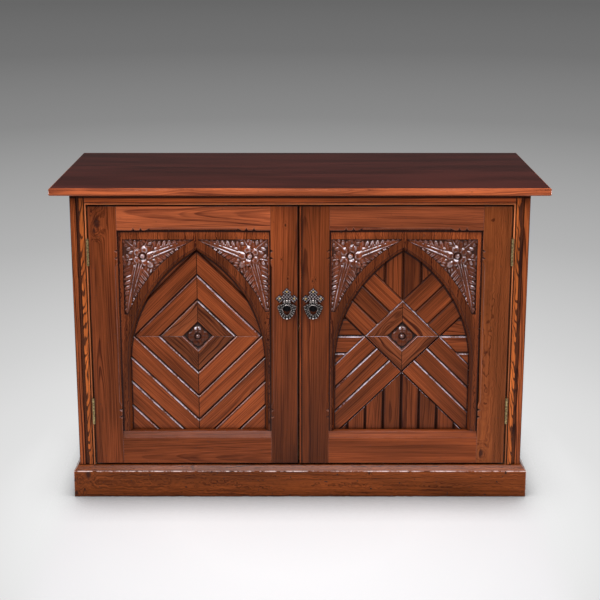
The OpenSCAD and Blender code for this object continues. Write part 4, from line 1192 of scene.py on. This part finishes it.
def studio():
    """A level view from in front and a little above, a pale floor and soft boxes."""
    camera = bpy.data.cameras.new("camera")
    camera.lens = 74.4
    camera.sensor_width = 36
    camera.shift_y = -0.15
    holder = bpy.data.objects.new("camera", camera)
    holder.location = (0, -3.582, 1.597)
    holder.rotation_euler = (math.radians(90 - 12.59), 0, 0)
    bpy.context.scene.collection.objects.link(holder)
    bpy.context.scene.camera = holder

    def soft_box(name, place, aim, wide, high, power, colour=(1, 1, 1)):
        lamp = bpy.data.lights.new(name, "AREA")
        lamp.shape = "RECTANGLE"
        lamp.size = wide
        lamp.size_y = high
        lamp.energy = power
        lamp.color = colour
        stand = bpy.data.objects.new(name, lamp)
        stand.location = place
        stand.visible_camera = False
        stand.rotation_euler = (Vector(aim) - Vector(place)).to_track_quat("-Z", "Y").to_euler()
        bpy.context.scene.collection.objects.link(stand)

    soft_box("ceiling panel", (0.1, -1.75, 2.95), (0, -0.3, 0.55), 2.2, 1.7, 52, (0.98, 0.98, 1))
    soft_box("front", (0.0, -4.2, 3.2), (0, -0.3, 0.5), 2.4, 0.9, 36, (0.98, 0.98, 1))
    soft_box("left side", (-2.7, -1.0, 2.1), (0, -0.25, 0.5), 0.9, 1.1, 28, (0.97, 0.97, 1))
    soft_box("right side", (2.7, -1.0, 2.1), (0, -0.25, 0.5), 0.9, 1.1, 28, (0.97, 0.97, 1))

    world = bpy.data.worlds.new("studio")
    bpy.context.scene.world = world
    world.use_nodes = True
    tree = world.node_tree
    shown = blend_colour(seen_directly(tree), (0.25, 0.25, 0.25, 1), FAR_GREY)
    feed(tree.nodes["Background"].inputs["Color"], shown)

    bm = bmesh.new()
    bmesh.ops.create_circle(bm, cap_ends=True, radius=70, segments=96)
    mesh = bpy.data.meshes.new("floor")
    bm.to_mesh(mesh)
    bm.free()
    floor = bpy.data.objects.new("floor", mesh)
    bpy.context.scene.collection.objects.link(floor)
    mesh.materials.append(pale_floor())


def seen_directly(tree):
    """Whether a ray comes from the camera, a gloss or a glass."""
    path = tree.nodes.new("ShaderNodeLightPath").outputs
    total = calc("ADD", path["Is Camera Ray"], path["Is Glossy Ray"])
    return calc("ADD", total, path["Is Transmission Ray"], clamp=True)


def pale_floor():
    """White by the cupboard, painted greyer with distance as light falls off; far out, camera and gloss rays
    see only its own painted glow, and painted shade darkens it next to the cupboard.
    """
    material, tree, shader = new_material("pale floor")
    place = object_place(tree)
    away = reach_of(stretch(shift(place, (0, 0.25, 0)), (1.25, 1, 1)))
    ramp = tree.nodes.new("ShaderNodeValToRGB")
    stops = ramp.color_ramp.elements
    feed(ramp.inputs["Fac"], calc("POWER", calc("DIVIDE", away, FAR), 0.5))
    for number, (distance, level) in enumerate(LEVELS):
        stop = stops[number] if number < 2 else stops.new(1.0)
        stop.position = (distance / FAR) ** 0.5
        stop.color = (level, level, level, 1)
    # Painted contact shade next to the cupboard, from the ambient occlusion
    room = crevices(tree, 0.17)
    shade = blend_colour(ease(room, 0.45, 1.0), (0.2, 0.2, 0.2, 1), (1, 1, 1, 1))
    shaded = blend_colour(1.0, ramp.outputs["Color"], shade, "MULTIPLY")
    feed_all(shader.inputs, Base_Color=shaded, Roughness=0.9, Specular_IOR_Level=0.1)
    # The painted glow that camera and gloss rays see away from the cupboard, with the same painted contact
    # shade
    glow = tree.nodes.new("ShaderNodeEmission")
    shade = blend_colour(ease(room, 0.45, 0.9), (0.43, 0.43, 0.43, 1), (1, 1, 1, 1))
    shaded = blend_colour(1.0, ramp.outputs["Color"], shade, "MULTIPLY")
    feed(glow.inputs["Color"], shaded)
    parts = split(place)
    aside = calc("MULTIPLY_ADD", calc("ABSOLUTE", parts[0]), 2.5, -1.5)
    behind = calc("SUBTRACT", parts[1], 0.3)
    before = calc("SUBTRACT", calc("MULTIPLY", parts[1], -1.0), 1.3)
    far = ease(calc("MAXIMUM", calc("MAXIMUM", aside, behind), before), 0.0, 0.3)
    mix = tree.nodes.new("ShaderNodeMixShader")
    feed(mix.inputs["Fac"], calc("MULTIPLY", far, seen_directly(tree)))
    feed(mix.inputs[1], shader.outputs["BSDF"])
    feed(mix.inputs[2], glow.outputs["Emission"])
    feed(tree.nodes["Material Output"].inputs["Surface"], mix.outputs["Shader"])
    return material


studio()
bpy.context.scene.view_settings.view_transform = "Standard"
